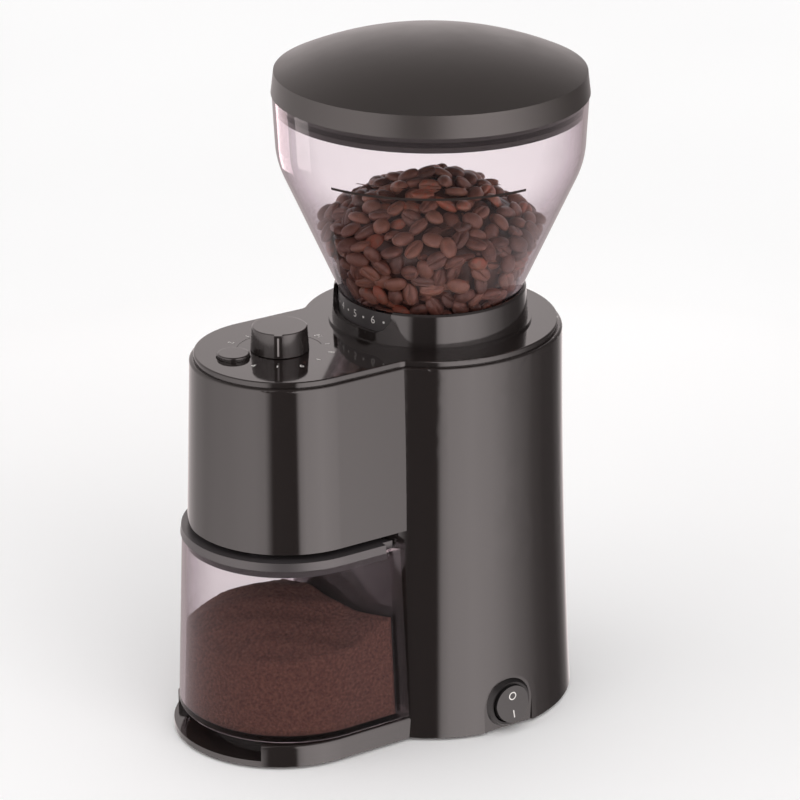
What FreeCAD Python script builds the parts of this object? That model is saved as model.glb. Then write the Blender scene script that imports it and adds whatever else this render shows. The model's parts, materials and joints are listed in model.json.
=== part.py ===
import FreeCAD, Part
import math
import os

os.makedirs("parts", exist_ok=True)

Vector = FreeCAD.Vector
origin = Vector(0, 0, 0)
upward = Vector(0, 0, 1)

# Burr coffee grinder, millimetres, +Z up, standing on the table at Z = 0.
# Pieces are drawn about the column's axis: the switch faces -Y, the container is on the -X side.

# Clearances
moving_gap = 0.4          # round a piece that moves by hand
running_fit = 0.03        # radial, between a shaft or pin and its bore
press_gap = 0.02          # radial, between a pin or screw and the hole it is driven into
seam = 0.15               # between two fixed mouldings that meet at a curved face
thread_gap = 0.3          # between the adjusting ring's thread and the carrier's
base_gap = 0.65           # between the base plate's edge and the flared wall
screw_tip_gap = 2.0       # left at the blind end of a screw hole
over = 1.0                # how far a cutting shape runs past what it cuts
tiny = 1e-6               # two places closer than this are the same place

# Base, tray and feet
foot_stand = 1.5
foot_recess = 1.5
foot_radius = 7.0
foot_inset = 4.7          # column feet, from the wall's inner face
foot_angle = 30.6         # column feet, to each side of +X
tray_foot_x = 84.0        # tray feet, from the column's axis
tray_foot_y = 30.0
base_thick = 2.2
tray_height = 10.0
tray_half = 48.8          # half the tray's width and the radius of its end
tray_centre = 80.6        # from the column's axis to the centre of the tray's round end
tray_edge_round = 1.5
tray_tongue_half = 34.0   # the neck that joins tray and base through the column's wall
tongue_lap = 6.0          # how far the neck reaches over the base
tray_shell = 2.4          # the tray is hollow underneath
scoop_depth = 14.0
scoop_floor = 2.6
scoop_half_angle = 47.0

# Column
column_height = 175.6
column_base_radius = 65.4
column_top_radius = 59.3
column_bow = 1.0          # how far the flare bows in at half height
housing_wall = 2.6
shoulder_round = 1.4
boss_radius = 4.5
boss_height = 16.0
boss_bite = 0.5           # how far the bosses sink into the wall
boss_angles = (50, 130, 230, 310)
chute_hole_side = 3.0     # room beside the chute where it leaves the column
chute_hole_sill = 6.0     # from the lobe's floor
chute_hole_lintel = 9.0   # from the shell's top

# Dispenser lobe
lobe_centre = 76.7
lobe_height = 76.1
lobe_base_half = 44.2
lobe_top_half = 42.0

# Top cover
cover_thick = 2.6
cover_inset = 1.9         # the cover's edge stands this far inside the shoulder
cover_edge_round = 0.8
cover_corner_round = 5.0
cover_boss_radius = 4.0
cover_boss_drop = 12.0
dial_hole_gap = 1.0

# Hopper, its neck, the grind ring and the collar
hopper_neck_radius = 36.5   # bore of the neck
hopper_wall = 2.0
hopper_neck_length = 10.0
hopper_shoulder = 1.9       # the step that rests on the grind ring
hopper_cone_height = 61.0
hopper_band_height = 29.7
hopper_band_taper = 1.6     # the band's foot is this much narrower than its top
hopper_blend = 14.0
ring_wall = 2.0
ring_rise = 11.0            # the numbered wall above the ring's web
ring_web = 2.8
sleeve_wall = 3.3
sleeve_drop = 15.0          # the threaded sleeve below the web's top
collar_wall = 1.6
collar_height = 15.8
collar_flare = 1.0
collar_flange = 1.6
collar_flange_thick = 1.2
window_depth = 10.5
window_half = 23.0
window_round = 8.5

# Lid
lid_radius = 70.0
lid_rim_height = 9.8
lid_rim_taper = 1.2
lid_dome = 15.5
lid_wall = 2.4
lid_skirt_drop = 7.0
lid_skirt_gap = 0.5
seal_height = 2.4
seal_depth = 0.9
seal_proud = 0.25

# Grounds container
container_clearance = 0.4   # over the tray
container_back_gap = 1.2    # behind it, to the column
container_base_half = 49.6
container_top_half = 46.8
container_wall = 2.2
container_floor = 3.2
container_edge_round = 2.0
bay_clearance = 2.8         # between the container's rim and the lobe's floor
rim_thick = 3.7
rim_overhang = 0.7
rim_draft = 0.5
rim_end = 55.0              # the rim stops this far from the column's axis
rim_plug_depth = 4.0
rim_plug_wall = 1.6
rim_hole_radius = 14.5

# Burr chamber and chute
chamber_depth = 42.1
chamber_wall = 2.5
chamber_floor = 3.0
chamber_ear_thick = 3.0
ear_margin = 1.0
ear_angles = (45, 135, 225, 315)
rib_thick = 2.4           # the ribs that guide the carrier's keys
rib_depth = 2.0
rib_overrun = 3.0
outlet_half = 11.0
outlet_height = 15.0
chute_wall = 1.8
chute_fall = 24.0           # drop between chamber and spout
spout_headroom = 4.0
spout_radius = 12.0
spout_ahead = 7.3           # the spout's axis, past the lobe's centre

# Burrs
carrier_inset = 3.3         # carrier radius inside the hopper's neck
carrier_height = 32.5
carrier_throat_wall = 2.7
carrier_key_width = 6.0
carrier_key_height = 12.0
carrier_key_lift = 1.0
key_angles = (30, 150, 270)
throat_step = 0.5
ring_burr_radius = 27.0
ring_burr_height = 14.0
ring_burr_mouth = 24.0
burr_gap = 0.8
burr_base_radius = 20.8
burr_fine_radius = 18.3
burr_tip_radius = 8.5
burr_fine_height = 8.5
burr_cone_height = 17.5
burr_fine_teeth = 24
burr_fine_cut = 1.3
burr_flutes = 6
burr_flute_cut = 4.0
ring_burr_lift = 3.0        # ring burr's lower face above the cone burr's
tooth_steep = 0.3           # share of the pitch in which a tooth falls
fine_twist = 0.3            # share of the pitch that a tooth winds between two levels
flute_twist = 0.28
flute_steps = 3

# Shaft, bearings and sweeper
shaft_radius = 5.0
stud_radius = 3.0
stud_length = 7.0
nut_height = 5.0
nut_across_flats = 10.0
bush_radius = 8.0
bush_length = 6.0
bush_boss_wall = 3.0
seal_ring_height = 1.5
bearing_radius = 13.0
bearing_width = 8.0
sweeper_gap = 0.8
sweeper_thick = 2.0
sweeper_rim_gap = 2.0
sweeper_hub_gap = 1.0
sweeper_blades = 4
sweeper_blade_width = 2.5
sweeper_blade_height = 5.2

# Gear train
gear_module = 1.0
pressure_angle = math.radians(20)
pinion_teeth = 12
wheel_teeth = 36
idler_teeth = 14
output_teeth = 34
pinion_shift = 0.2
addendum = 0.8
dedendum = 1.05
tooth_backlash = 0.16
flank_steps = 3
first_stage_width = 8.0
second_stage_width = 10.0
stage_gap = 2.5
gear_floor_gap = 2.5
gear_overlap = 0.5          # a pinion is this much wider than its wheel, at each end
gear_rim = 4.0
gearbox_height = 33.0
gearbox_wall = 2.5
gearbox_floor = 3.0
gearbox_cover_thick = 3.0
gearbox_boss_radius = 3.5
gearbox_screw_angles = (60, 120, 240, 300)
bearing_lip = 0.5
bearing_ledge = 2.0
idler_pin_radius = 3.0
pin_seat = 2.0

# Motor
motor_radius = 29.0
motor_wall = 2.5
motor_shaft_radius = 2.5
motor_boss_radius = 9.0
motor_boss_step = 0.5
motor_screw_angles = (105, 255)
end_cap_height = 8.0
end_cap_lip = 3.0
end_bearing_wall = 4.0
vent_count = 6
vent_width = 4.0
armature_radius = 21.0
magnet_thick = 4.0
magnet_half_angle = 62.0
magnet_share = 0.6          # of the can's length
armature_slots = 5
armature_slot_width = 4.0
armature_slot_floor = 11.5
winding_radius = 16.8
winding_overhang = 5.0
commutator_radius = 8.4
commutator_length = 8.0
shaft_end_gap = 1.0
cushion_height = 14.5
cushion_wall = 8.0
cushion_waist = 2.0

# Screws
screw_radius = 1.5
screw_head_radius = 2.9
screw_head_height = 2.2

# Controls on the cover
dial_ahead = 1.3            # the dial's axis, past the lobe's centre
dial_y = 2.0
dial_radius = 12.2
dial_flare = 0.7
dial_height = 10.6
dial_skin = 2.2
dial_edge_round = 0.6
dial_hub_radius = 5.6
dial_pointer_width = 3.4
dial_pointer_proud = 1.2
dial_pointer_angle = 235.0  # the way the pointer faces at rest
dial_shaft_radius = 3.0
pot_radius = 8.0
pot_height = 8.0
pot_bush_wall = 0.9
pot_bush_height = 5.0
button_ahead = 23.3         # the button's axis, past the lobe's centre
button_y = 5.0
button_radius = 7.2
button_proud = 2.0
button_flange = 1.6
button_flange_thick = 2.2
button_stem_radius = 2.5
button_travel = 1.2
button_edge_round = 0.8
plunger_radius = 1.5
tact_size = 6.0
tact_height = 3.6
board_drop = 17.5
board_thick = 1.6
board_margin = 11.0         # between the board's edge and the lobe's side
board_run = 16.7            # from the lobe's centre to the board's straight edge
post_radius = 3.2
rear_post_back = 10.7       # from the lobe's centre
rear_post_inset = 6.0       # from the board's edge
front_post_ahead = 17.3
front_post_inset = 12.0

# Mains switch
switch_height = 12.0        # its centre above the column's lower edge
panel_depth = 2.0
panel_half = 13.0
panel_thick = 3.0
bezel_radius = 11.6
bezel_proud = 2.0
bezel_bevel = 1.3
switch_barrel_radius = 10.2
switch_depth = 14.0
rocker_radius = 8.6
rocker_proud = 3.6
rocker_tail = 3.0
rocker_tilt = 8.0
rocker_gap = 0.6
rocker_pin_radius = 1.2
rocker_pin_seat = 0.6       # how far the pins reach into the switch's wall
rocker_room = 4.0           # free depth behind the rocker
terminal_length = 7.0
terminal_pitch = 5.0
terminal_thick = 0.8
terminal_width = 6.4

# Cord gland
gland_height = 16.0
gland_radius = 7.5
gland_thick = 2.5
gland_barrel_radius = 5.4
gland_bore_radius = 3.2

# Places worked out from the sizes above
base_z = foot_stand
base_top_z = base_z + base_thick
tray_top_z = base_z + tray_height
shell_top_z = base_z + column_height
lobe_floor_z = shell_top_z - lobe_height
cover_top_z = shell_top_z + cover_thick
collar_top_z = cover_top_z + collar_height
tray_reach = tray_centre + tray_half
axis_x = (tray_reach - lid_radius) / 2     # the column's axis, when the whole part is centred

neck_outer = hopper_neck_radius + hopper_wall
ring_inner = neck_outer + moving_gap
ring_outer = ring_inner + ring_wall
collar_inner = ring_outer + moving_gap
collar_outer = collar_inner + collar_wall
carrier_radius = hopper_neck_radius - carrier_inset
sleeve_inner = carrier_radius + thread_gap
sleeve_outer = sleeve_inner + sleeve_wall
web_z = cover_top_z + moving_gap
web_top_z = web_z + ring_web
ring_top_z = web_top_z + ring_rise
sleeve_z = web_top_z - sleeve_drop
hopper_seat_z = ring_top_z
hopper_cone_top_z = hopper_seat_z + hopper_cone_height
hopper_top_z = hopper_cone_top_z + hopper_band_height
hopper_top_radius = lid_radius - moving_gap

chamber_inner = sleeve_outer + 3 * moving_gap
chamber_outer = chamber_inner + chamber_wall
chamber_z = shell_top_z - chamber_depth
chamber_floor_z = chamber_z + chamber_floor
chamber_top_z = shell_top_z - thread_gap
ear_z = shell_top_z - cover_boss_drop
ear_circle = chamber_outer + cover_boss_radius + seam
bush_top_z = chamber_z + bush_length
bush_boss_radius = bush_radius + bush_boss_wall
seal_ring_top_z = bush_top_z + seal_ring_height
sweeper_z = chamber_floor_z + sweeper_gap
hub_z = seal_ring_top_z + thread_gap
hub_radius = bush_boss_radius + sweeper_hub_gap
burr_z = sweeper_z + sweeper_thick + sweeper_blade_height
fine_top_z = burr_z + burr_fine_height
cone_top_z = fine_top_z + burr_cone_height
ring_burr_z = burr_z + ring_burr_lift
ring_burr_top_z = ring_burr_z + ring_burr_height

key_low = ring_burr_z + carrier_key_lift

gearbox_cover_z = chamber_z - gearbox_cover_thick
gearbox_z = gearbox_cover_z - gearbox_height
gearbox_floor_z = gearbox_z + gearbox_floor
first_stage_z = gearbox_floor_z + gear_floor_gap
second_stage_z = first_stage_z + first_stage_width + stage_gap
gear_centre = gear_module * (pinion_teeth + wheel_teeth) / 2
wheel_tip = gear_module * (wheel_teeth / 2 + addendum - pinion_shift)
gearbox_inner = gear_centre + wheel_tip + 3 * moving_gap
gearbox_outer = gearbox_inner + gearbox_wall
gearbox_boss_circle = gearbox_inner - gearbox_boss_radius + seam
shaft_z = second_stage_z - stage_gap / 4

motor_z = base_top_z + cushion_height
can_z = motor_z + end_cap_height

panel_y = column_base_radius - panel_depth
switch_z = base_z + switch_height
gland_z = base_z + gland_height
board_z = shell_top_z - board_drop
board_top_z = board_z + board_thick
board_half = lobe_top_half - board_margin
dial_x = lobe_centre + dial_ahead
button_x = lobe_centre + button_ahead
spout_reach = lobe_centre + spout_ahead
post_places = []
for side in (1, -1):
    post_places.append((lobe_centre - rear_post_back, side * (board_half - rear_post_inset)))
    post_places.append((lobe_centre + front_post_ahead, side * (board_half - front_post_inset)))


# Helpers
def outline(start, *steps):
    # closed face in the XZ plane; a step is (x, z), (mid x, mid z, x, z) for an arc, or a ready curve
    first = Vector(start[0], 0, start[1])
    here = first
    edges = []
    for step in steps:
        if isinstance(step, Part.Edge):
            edges.append(step)
            here = step.lastVertex().Point
            continue
        there = Vector(step[-2], 0, step[-1])
        if len(step) == 4:
            middle = Vector(step[0], 0, step[1])
            edges.append(Part.Arc(here, middle, there).toShape())
        else:
            edges.append(Part.LineSegment(here, there).toShape())
        here = there
    edges.append(Part.LineSegment(here, first).toShape())
    return Part.Face(Part.Wire(edges))


def turned(face):
    return face.revolve(origin, upward, 360)


def u_shape(face, centre, run):
    # a section carried round the lobe's end and along both of its sides
    side = face.copy()
    side.rotate(origin, upward, 90)
    other = face.copy()
    other.rotate(origin, upward, -90)
    end = side.revolve(origin, upward, 180)
    along = Vector(run, 0, 0)
    shape = end.fuse([side.extrude(along), other.extrude(along)]).removeSplitter()
    shape.translate(Vector(-centre, 0, 0))
    return shape


def cylinder(radius, low, high, x=0, y=0):
    return Part.makeCylinder(radius, high - low, Vector(x, y, low))


def ring(outer, inner, low, high, x=0, y=0):
    return cylinder(outer, low, high, x, y).cut(cylinder(inner, low, high, x, y))


def block(x0, x1, y0, y1, z0, z1):
    return Part.makeBox(x1 - x0, y1 - y0, z1 - z0, Vector(x0, y0, z0))


def polar(radius, angle, z=0):
    return Vector(radius * math.cos(angle), radius * math.sin(angle), z)


def prism(points, length):
    return Part.Face(Part.makePolygon(points + points[:1])).extrude(Vector(0, 0, length))


def round_mid(radius):
    # how far the middle of a quarter-round lies from its two sides
    return radius * (1 - math.sqrt(0.5))


def screw(x, y, seat_z, length):
    # driven upwards: head below seat_z, shank above
    head = cylinder(screw_head_radius, seat_z - screw_head_height, seat_z, x, y)
    return head.fuse(cylinder(screw_radius, seat_z, seat_z + length, x, y)).removeSplitter()


def circle_places(radius, angles):
    places = [polar(radius, math.radians(angle)) for angle in angles]
    return [(place.x, place.y) for place in places]


base_screw_places = circle_places(column_base_radius - housing_wall - boss_radius + boss_bite, boss_angles)
ear_places = circle_places(ear_circle, ear_angles)
gearbox_places = circle_places(gearbox_boss_circle, gearbox_screw_angles)
foot_circle = column_base_radius - housing_wall - foot_inset - foot_radius
column_feet = circle_places(foot_circle, (foot_angle, -foot_angle))
tray_feet = [(-tray_foot_x, tray_foot_y), (-tray_foot_x, -tray_foot_y)]
motor_screw_places = circle_places((motor_boss_radius + motor_radius - motor_wall) / 2, motor_screw_angles)


# The column and its flare
def column_radius(z):
    share = (z - base_z) / column_height
    straight = column_base_radius + (column_top_radius - column_base_radius) * share
    return straight - 4 * column_bow * share * (1 - share)


def column_section(inset):
    # from the axis out to the flared face, set in by inset
    heights = (base_z, (base_z + shell_top_z) / 2, shell_top_z)
    flare = Part.BSplineCurve()
    flare.interpolate([Vector(column_radius(z) - inset, 0, z) for z in heights])
    return outline((0, base_z), (column_base_radius - inset, base_z), flare.toShape(), (0, shell_top_z))


def switch_arch(half, back_y, front_y):
    # arch-shaped prism on the column's front, from its lower edge to over the switch
    top = cylinder(half, 0, front_y - back_y)
    top.rotate(origin, Vector(1, 0, 0), 90)
    top.translate(Vector(0, -back_y, switch_z))
    return top.fuse(block(-half, half, -front_y, -back_y, base_z, switch_z))


def main_housing():
    top_cut = outline(
        (column_top_radius, shell_top_z - shoulder_round),
        (column_top_radius - round_mid(shoulder_round), shell_top_z - round_mid(shoulder_round),
         column_top_radius - shoulder_round, shell_top_z),
        (column_top_radius + over, shell_top_z + over),
        (column_top_radius + over, shell_top_z - shoulder_round))
    solid = turned(column_section(0)).cut(turned(top_cut))
    shell = solid.cut(turned(column_section(housing_wall)))
    pad = switch_arch(panel_half + panel_thick, panel_y - panel_thick, panel_y + panel_depth)
    shell = shell.fuse(pad.common(turned(column_section(0))))
    boss_top = base_top_z + boss_height
    shell = shell.fuse([cylinder(boss_radius, base_top_z, boss_top, x, y) for x, y in base_screw_places])
    tongue = tray_tongue_half + seam
    far = column_base_radius + housing_wall
    chute_hole = spout_radius + chute_hole_side
    cuts = [
        switch_arch(panel_half, panel_y, far),
        block(-far, -far / 2, -tongue, tongue, base_z, tray_top_z + seam),
        block(-far, -far / 2, -chute_hole, chute_hole,
              lobe_floor_z + chute_hole_sill, shell_top_z - chute_hole_lintel),
        Part.makeCylinder(switch_barrel_radius + seam, far, Vector(0, 0, switch_z), Vector(0, -1, 0)),
        Part.makeCylinder(gland_barrel_radius + seam, far, Vector(0, 0, gland_z), Vector(0, 1, 0)),
    ]
    for x, y in base_screw_places:
        cuts.append(cylinder(screw_radius + press_gap, base_top_z, boss_top, x, y))
    return shell.cut(cuts).removeSplitter()


def dispenser_housing():
    outer = outline(
        (0, lobe_floor_z),
        (lobe_base_half, lobe_floor_z),
        (lobe_top_half, shell_top_z - shoulder_round),
        (lobe_top_half - round_mid(shoulder_round), shell_top_z - round_mid(shoulder_round),
         lobe_top_half - shoulder_round, shell_top_z),
        (0, shell_top_z))
    inner = outline(
        (0, lobe_floor_z + housing_wall),
        (lobe_base_half - housing_wall, lobe_floor_z + housing_wall),
        (lobe_top_half - housing_wall, shell_top_z),
        (0, shell_top_z))
    shell = u_shape(outer, lobe_centre, lobe_centre).cut(u_shape(inner, lobe_centre, lobe_centre))
    spout_hole = cylinder(spout_radius + seam, lobe_floor_z, lobe_floor_z + housing_wall, -spout_reach)
    return shell.cut([turned(column_section(-seam)), spout_hole])


def top_cover():
    disc = cylinder(column_top_radius - cover_inset, shell_top_z, cover_top_z)
    lobe_half = lobe_top_half - cover_inset
    section = outline((0, shell_top_z), (lobe_half, shell_top_z),
                      (lobe_half, cover_top_z), (0, cover_top_z))
    plate = disc.fuse(u_shape(section, lobe_centre, lobe_centre)).removeSplitter()
    inside_corners = []
    for edge in plate.Edges:
        box = edge.BoundBox
        upright = abs(box.ZLength - cover_thick) < tiny and box.XLength < tiny
        if upright and box.XMax > over - lobe_centre:
            inside_corners.append(edge)
    plate = plate.makeFillet(cover_corner_round, inside_corners)
    rim = [edge for edge in plate.Edges if edge.BoundBox.ZMin > cover_top_z - tiny]
    plate = plate.makeFillet(cover_edge_round, rim)
    posts = [cylinder(post_radius, board_top_z, shell_top_z, -x, y) for x, y in post_places]
    bosses = [cylinder(cover_boss_radius, ear_z, shell_top_z, x, y) for x, y in ear_places]
    holes = [
        cylinder(sleeve_outer + moving_gap, shell_top_z, cover_top_z),
        cylinder(dial_shaft_radius + dial_hole_gap, shell_top_z, cover_top_z, -dial_x, dial_y),
        cylinder(button_radius + moving_gap, shell_top_z, cover_top_z, -button_x, button_y),
    ]
    for x, y in post_places:
        holes.append(cylinder(screw_radius + press_gap, board_top_z, shell_top_z, -x, y))
    for x, y in ear_places:
        holes.append(cylinder(screw_radius + press_gap, ear_z, shell_top_z, x, y))
    return plate.fuse(posts + bosses).cut(holes)


def hopper_collar():
    flange_z = cover_top_z + collar_flange_thick
    foot = collar_outer + collar_flare
    wall = turned(outline(
        (collar_inner, cover_top_z),
        (foot + collar_flange, cover_top_z),
        (foot + collar_flange, flange_z),
        (foot, flange_z),
        (collar_outer, collar_top_z - collar_wall / 2),
        (collar_outer - collar_wall / 2, collar_top_z),
        (collar_inner, collar_top_z)))
    low = collar_top_z - window_depth
    corner = window_round - round_mid(window_round)
    window = outline(
        (-window_half, collar_top_z),
        (-window_half, low + window_round),
        (-window_half + window_round - corner, low + window_round - corner,
         -window_half + window_round, low),
        (window_half - window_round, low),
        (window_half - window_round + corner, low + window_round - corner,
         window_half, low + window_round),
        (window_half, collar_top_z))
    window.rotate(origin, upward, 90)
    return wall.cut(window.extrude(Vector(-foot - collar_flange, 0, 0)))


def base_plate():
    disc_radius = column_base_radius - housing_wall - base_gap
    disc = cylinder(disc_radius, base_z, base_top_z)
    section = outline(
        (0, base_z),
        (tray_half, base_z),
        (tray_half, tray_top_z - tray_edge_round),
        (tray_half - round_mid(tray_edge_round), tray_top_z - round_mid(tray_edge_round),
         tray_half - tray_edge_round, tray_top_z),
        (0, tray_top_z))
    column = turned(column_section(-seam))
    tray = u_shape(section, tray_centre, tray_centre).cut(column)
    neck = block(-column_base_radius - 2 * housing_wall, -disc_radius + tongue_lap,
                 -tray_tongue_half, tray_tongue_half, base_z, tray_top_z)
    neck = neck.cut(cylinder(disc_radius, base_top_z, tray_top_z))
    plate = disc.fuse([tray, neck])
    scoop_inner = tray_half - scoop_depth
    half_turn = math.radians(scoop_half_angle)
    scoop = ring(tray_half + over, scoop_inner, base_z + scoop_floor, tray_top_z)
    wedge_reach = 2 * tray_half
    wedge = prism([origin, polar(wedge_reach, math.pi - half_turn), Vector(-wedge_reach, 0, 0),
                   polar(wedge_reach, math.pi + half_turn)], tray_top_z)
    scoop = scoop.common(wedge)
    scoop.translate(Vector(-tray_centre, 0, 0))
    hollow_end = -tray_centre - scoop_inner + tray_shell
    hollow_start = -column_base_radius - 3 * tray_shell
    hollow_half = tray_half - scoop_depth - tray_shell
    hollow_top = tray_top_z - tray_shell
    hollow = block(hollow_end + hollow_half / 4, hollow_start, -hollow_half, hollow_half,
                   base_z, hollow_top)
    for x, y in tray_feet:
        hollow = hollow.cut(cylinder(foot_radius + tray_shell, base_z, hollow_top, x, y))
    rib = block(hollow_end, hollow_start, -tray_shell / 2, tray_shell / 2, base_z, hollow_top)
    cuts = [scoop, hollow.cut(rib)]
    cuts.append(switch_arch(panel_half + panel_thick + seam, panel_y - panel_thick - seam, panel_y))
    barrel = switch_barrel_radius + seam
    cuts.append(Part.makeCylinder(barrel, panel_y, Vector(0, 0, switch_z), Vector(0, -1, 0)))
    for x, y in column_feet + tray_feet:
        cuts.append(cylinder(foot_radius + seam, base_z, base_z + foot_recess, x, y))
    for x, y in base_screw_places:
        cuts.append(cylinder(screw_radius + seam, base_z, base_top_z, x, y))
        cuts.append(cylinder(screw_head_radius + seam, base_z, base_z + screw_head_height, x, y))
    return plate.cut(cuts).removeSplitter()


def feet():
    edge = foot_stand / 2
    section = outline(
        (0, 0),
        (foot_radius - edge, 0),
        (foot_radius, edge),
        (foot_radius, base_z + foot_recess),
        (0, base_z + foot_recess))
    foot = turned(section)
    return Part.makeCompound([foot.translated(Vector(x, y, 0)) for x, y in column_feet + tray_feet])


def base_screws():
    seat_z = base_z + screw_head_height
    length = base_top_z + boss_height - seat_z - screw_tip_gap
    return Part.makeCompound([screw(x, y, seat_z, length) for x, y in base_screw_places])


def cord_gland():
    wall_y = column_radius(gland_z - gland_radius)
    section = outline(
        (gland_bore_radius, wall_y - 2 * housing_wall),
        (gland_barrel_radius, wall_y - 2 * housing_wall),
        (gland_barrel_radius, wall_y + seam),
        (gland_radius, wall_y + seam),
        (gland_radius - gland_thick / 2, wall_y + gland_thick),
        (gland_bore_radius, wall_y + gland_thick))
    gland = turned(section)
    gland.rotate(origin, Vector(1, 0, 0), -90)
    gland.translate(Vector(0, 0, gland_z))
    return gland


# The hopper, its ring and its lid
def hopper_section(inset):
    # flared cone and straight band, from the seat up
    cone_low = (neck_outer + hopper_shoulder - inset, hopper_seat_z)
    knee = (hopper_top_radius - hopper_band_taper - inset, hopper_cone_top_z)
    top = (hopper_top_radius - inset, hopper_top_z)
    down = math.hypot(knee[0] - cone_low[0], knee[1] - cone_low[1])
    rise = math.hypot(top[0] - knee[0], top[1] - knee[1])
    before = tuple(knee[i] + (cone_low[i] - knee[i]) * hopper_blend / 2 / down for i in (0, 1))
    after = tuple(knee[i] + (top[i] - knee[i]) * hopper_blend / 2 / rise for i in (0, 1))
    # the blend's middle lies half-way between its chord and the knee
    chord = tuple((before[i] + after[i]) / 2 for i in (0, 1))
    middle = tuple(chord[i] + (knee[i] - chord[i]) / 2 for i in (0, 1))
    return cone_low, before, middle + after, top


def hopper():
    low, before, bend, top = hopper_section(0)
    inner_low, inner_before, inner_bend, inner_top = hopper_section(hopper_wall)
    neck_z = hopper_seat_z - hopper_neck_length
    outer = turned(outline(
        (0, neck_z),
        (neck_outer, neck_z),
        (neck_outer, hopper_seat_z),
        low, before, bend, top,
        (0, hopper_top_z)))
    inner = turned(outline(
        (0, neck_z),
        (hopper_neck_radius, neck_z),
        (hopper_neck_radius, hopper_seat_z),
        inner_low, inner_before, inner_bend, inner_top,
        (0, hopper_top_z)))
    return outer.cut(inner)


def grind_ring():
    return turned(outline(
        (sleeve_inner, sleeve_z),
        (sleeve_outer, sleeve_z),
        (sleeve_outer, web_z),
        (ring_outer, web_z),
        (ring_outer, ring_top_z),
        (ring_inner, ring_top_z),
        (ring_inner, web_top_z),
        (sleeve_inner + ring_web, web_top_z),
        (sleeve_inner, web_z)))


def lid_rim_z():
    return hopper_top_z + seam


def skirt_radius():
    return hopper_top_radius - hopper_wall - lid_skirt_gap


def hopper_lid():
    low = lid_rim_z()
    rim_top = low + lid_rim_height
    top_radius = lid_radius - lid_rim_taper
    crown = rim_top + lid_dome
    # both faces of the dome are spheres about one centre on the axis
    sphere = (top_radius ** 2 + lid_dome ** 2) / (2 * lid_dome)
    centre_z = crown - sphere
    skirt = skirt_radius()
    inner = skirt - lid_wall

    def on_sphere(x, radius):
        return x, centre_z + math.sqrt(radius ** 2 - x ** 2)

    hollow = sphere - lid_wall
    groove_z = low - lid_skirt_drop / 2 - seal_height / 2
    return turned(outline(
        (0, crown - lid_wall),
        on_sphere(inner / 2, hollow) + on_sphere(inner, hollow),
        (inner, low - lid_skirt_drop),
        (skirt, low - lid_skirt_drop),
        (skirt, groove_z),
        (skirt - seal_depth, groove_z),
        (skirt - seal_depth, groove_z + seal_height),
        (skirt, groove_z + seal_height),
        (skirt, low),
        (lid_radius, low),
        (top_radius, rim_top),
        on_sphere(top_radius / 2, sphere) + (0, crown)))


def lid_seal():
    skirt = skirt_radius()
    low = lid_rim_z() - lid_skirt_drop / 2 - seal_height / 2
    outer = skirt + seal_proud
    return turned(outline(
        (skirt - seal_depth, low),
        (skirt, low),
        (outer, low + seal_height / 2, skirt, low + seal_height),
        (skirt - seal_depth, low + seal_height)))


# The grounds container
container_z = tray_top_z + container_clearance
rim_z = lobe_floor_z - bay_clearance - rim_thick
container_back = column_base_radius + container_back_gap


def container_half(z):
    share = (z - container_z) / (rim_z - container_z)
    return container_base_half + (container_top_half - container_base_half) * share


def container():
    edge_mid = round_mid(container_edge_round)
    outer = outline(
        (0, container_z),
        (container_base_half - container_edge_round, container_z),
        (container_base_half - edge_mid, container_z + edge_mid,
         container_base_half, container_z + container_edge_round),
        (container_top_half, rim_z),
        (0, rim_z))
    floor_z = container_z + container_floor
    inner = outline(
        (0, floor_z),
        (container_half(floor_z) - container_wall, floor_z),
        (container_top_half - container_wall, rim_z),
        (0, rim_z))
    body = u_shape(outer, lobe_centre, lobe_centre).cut(cylinder(container_back, container_z, rim_z))
    space = u_shape(inner, lobe_centre, lobe_centre)
    space = space.cut(cylinder(container_back + container_wall, floor_z, rim_z))
    return body.cut(space)


def container_lid():
    flange_half = container_top_half + rim_overhang
    top_z = rim_z + rim_thick
    section = outline((0, rim_z), (flange_half, rim_z), (flange_half - rim_draft, top_z), (0, top_z))
    flange = u_shape(section, lobe_centre, lobe_centre)
    plug_low = rim_z - rim_plug_depth
    plug_half = container_top_half - container_wall - moving_gap
    back = container_back + container_wall + moving_gap
    side_reach = flange_half + over
    for side in (1, -1):
        y0, y1 = sorted((side * plug_half, side * side_reach))
        flange = flange.cut(block(-rim_end, 0, y0, y1, rim_z, top_z))
    flange = flange.cut(cylinder(container_back, rim_z, top_z))
    plugs = []
    for inset in (0, rim_plug_wall):
        half = plug_half - inset
        section = outline((0, plug_low), (half, plug_low), (half, rim_z), (0, rim_z))
        plug = u_shape(section, lobe_centre, lobe_centre)
        plugs.append(plug.cut(cylinder(back + inset, plug_low, rim_z)))
    lid = flange.fuse(plugs[0].cut(plugs[1]))
    return lid.cut(cylinder(rim_hole_radius, rim_z, top_z, -spout_reach)).removeSplitter()


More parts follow.
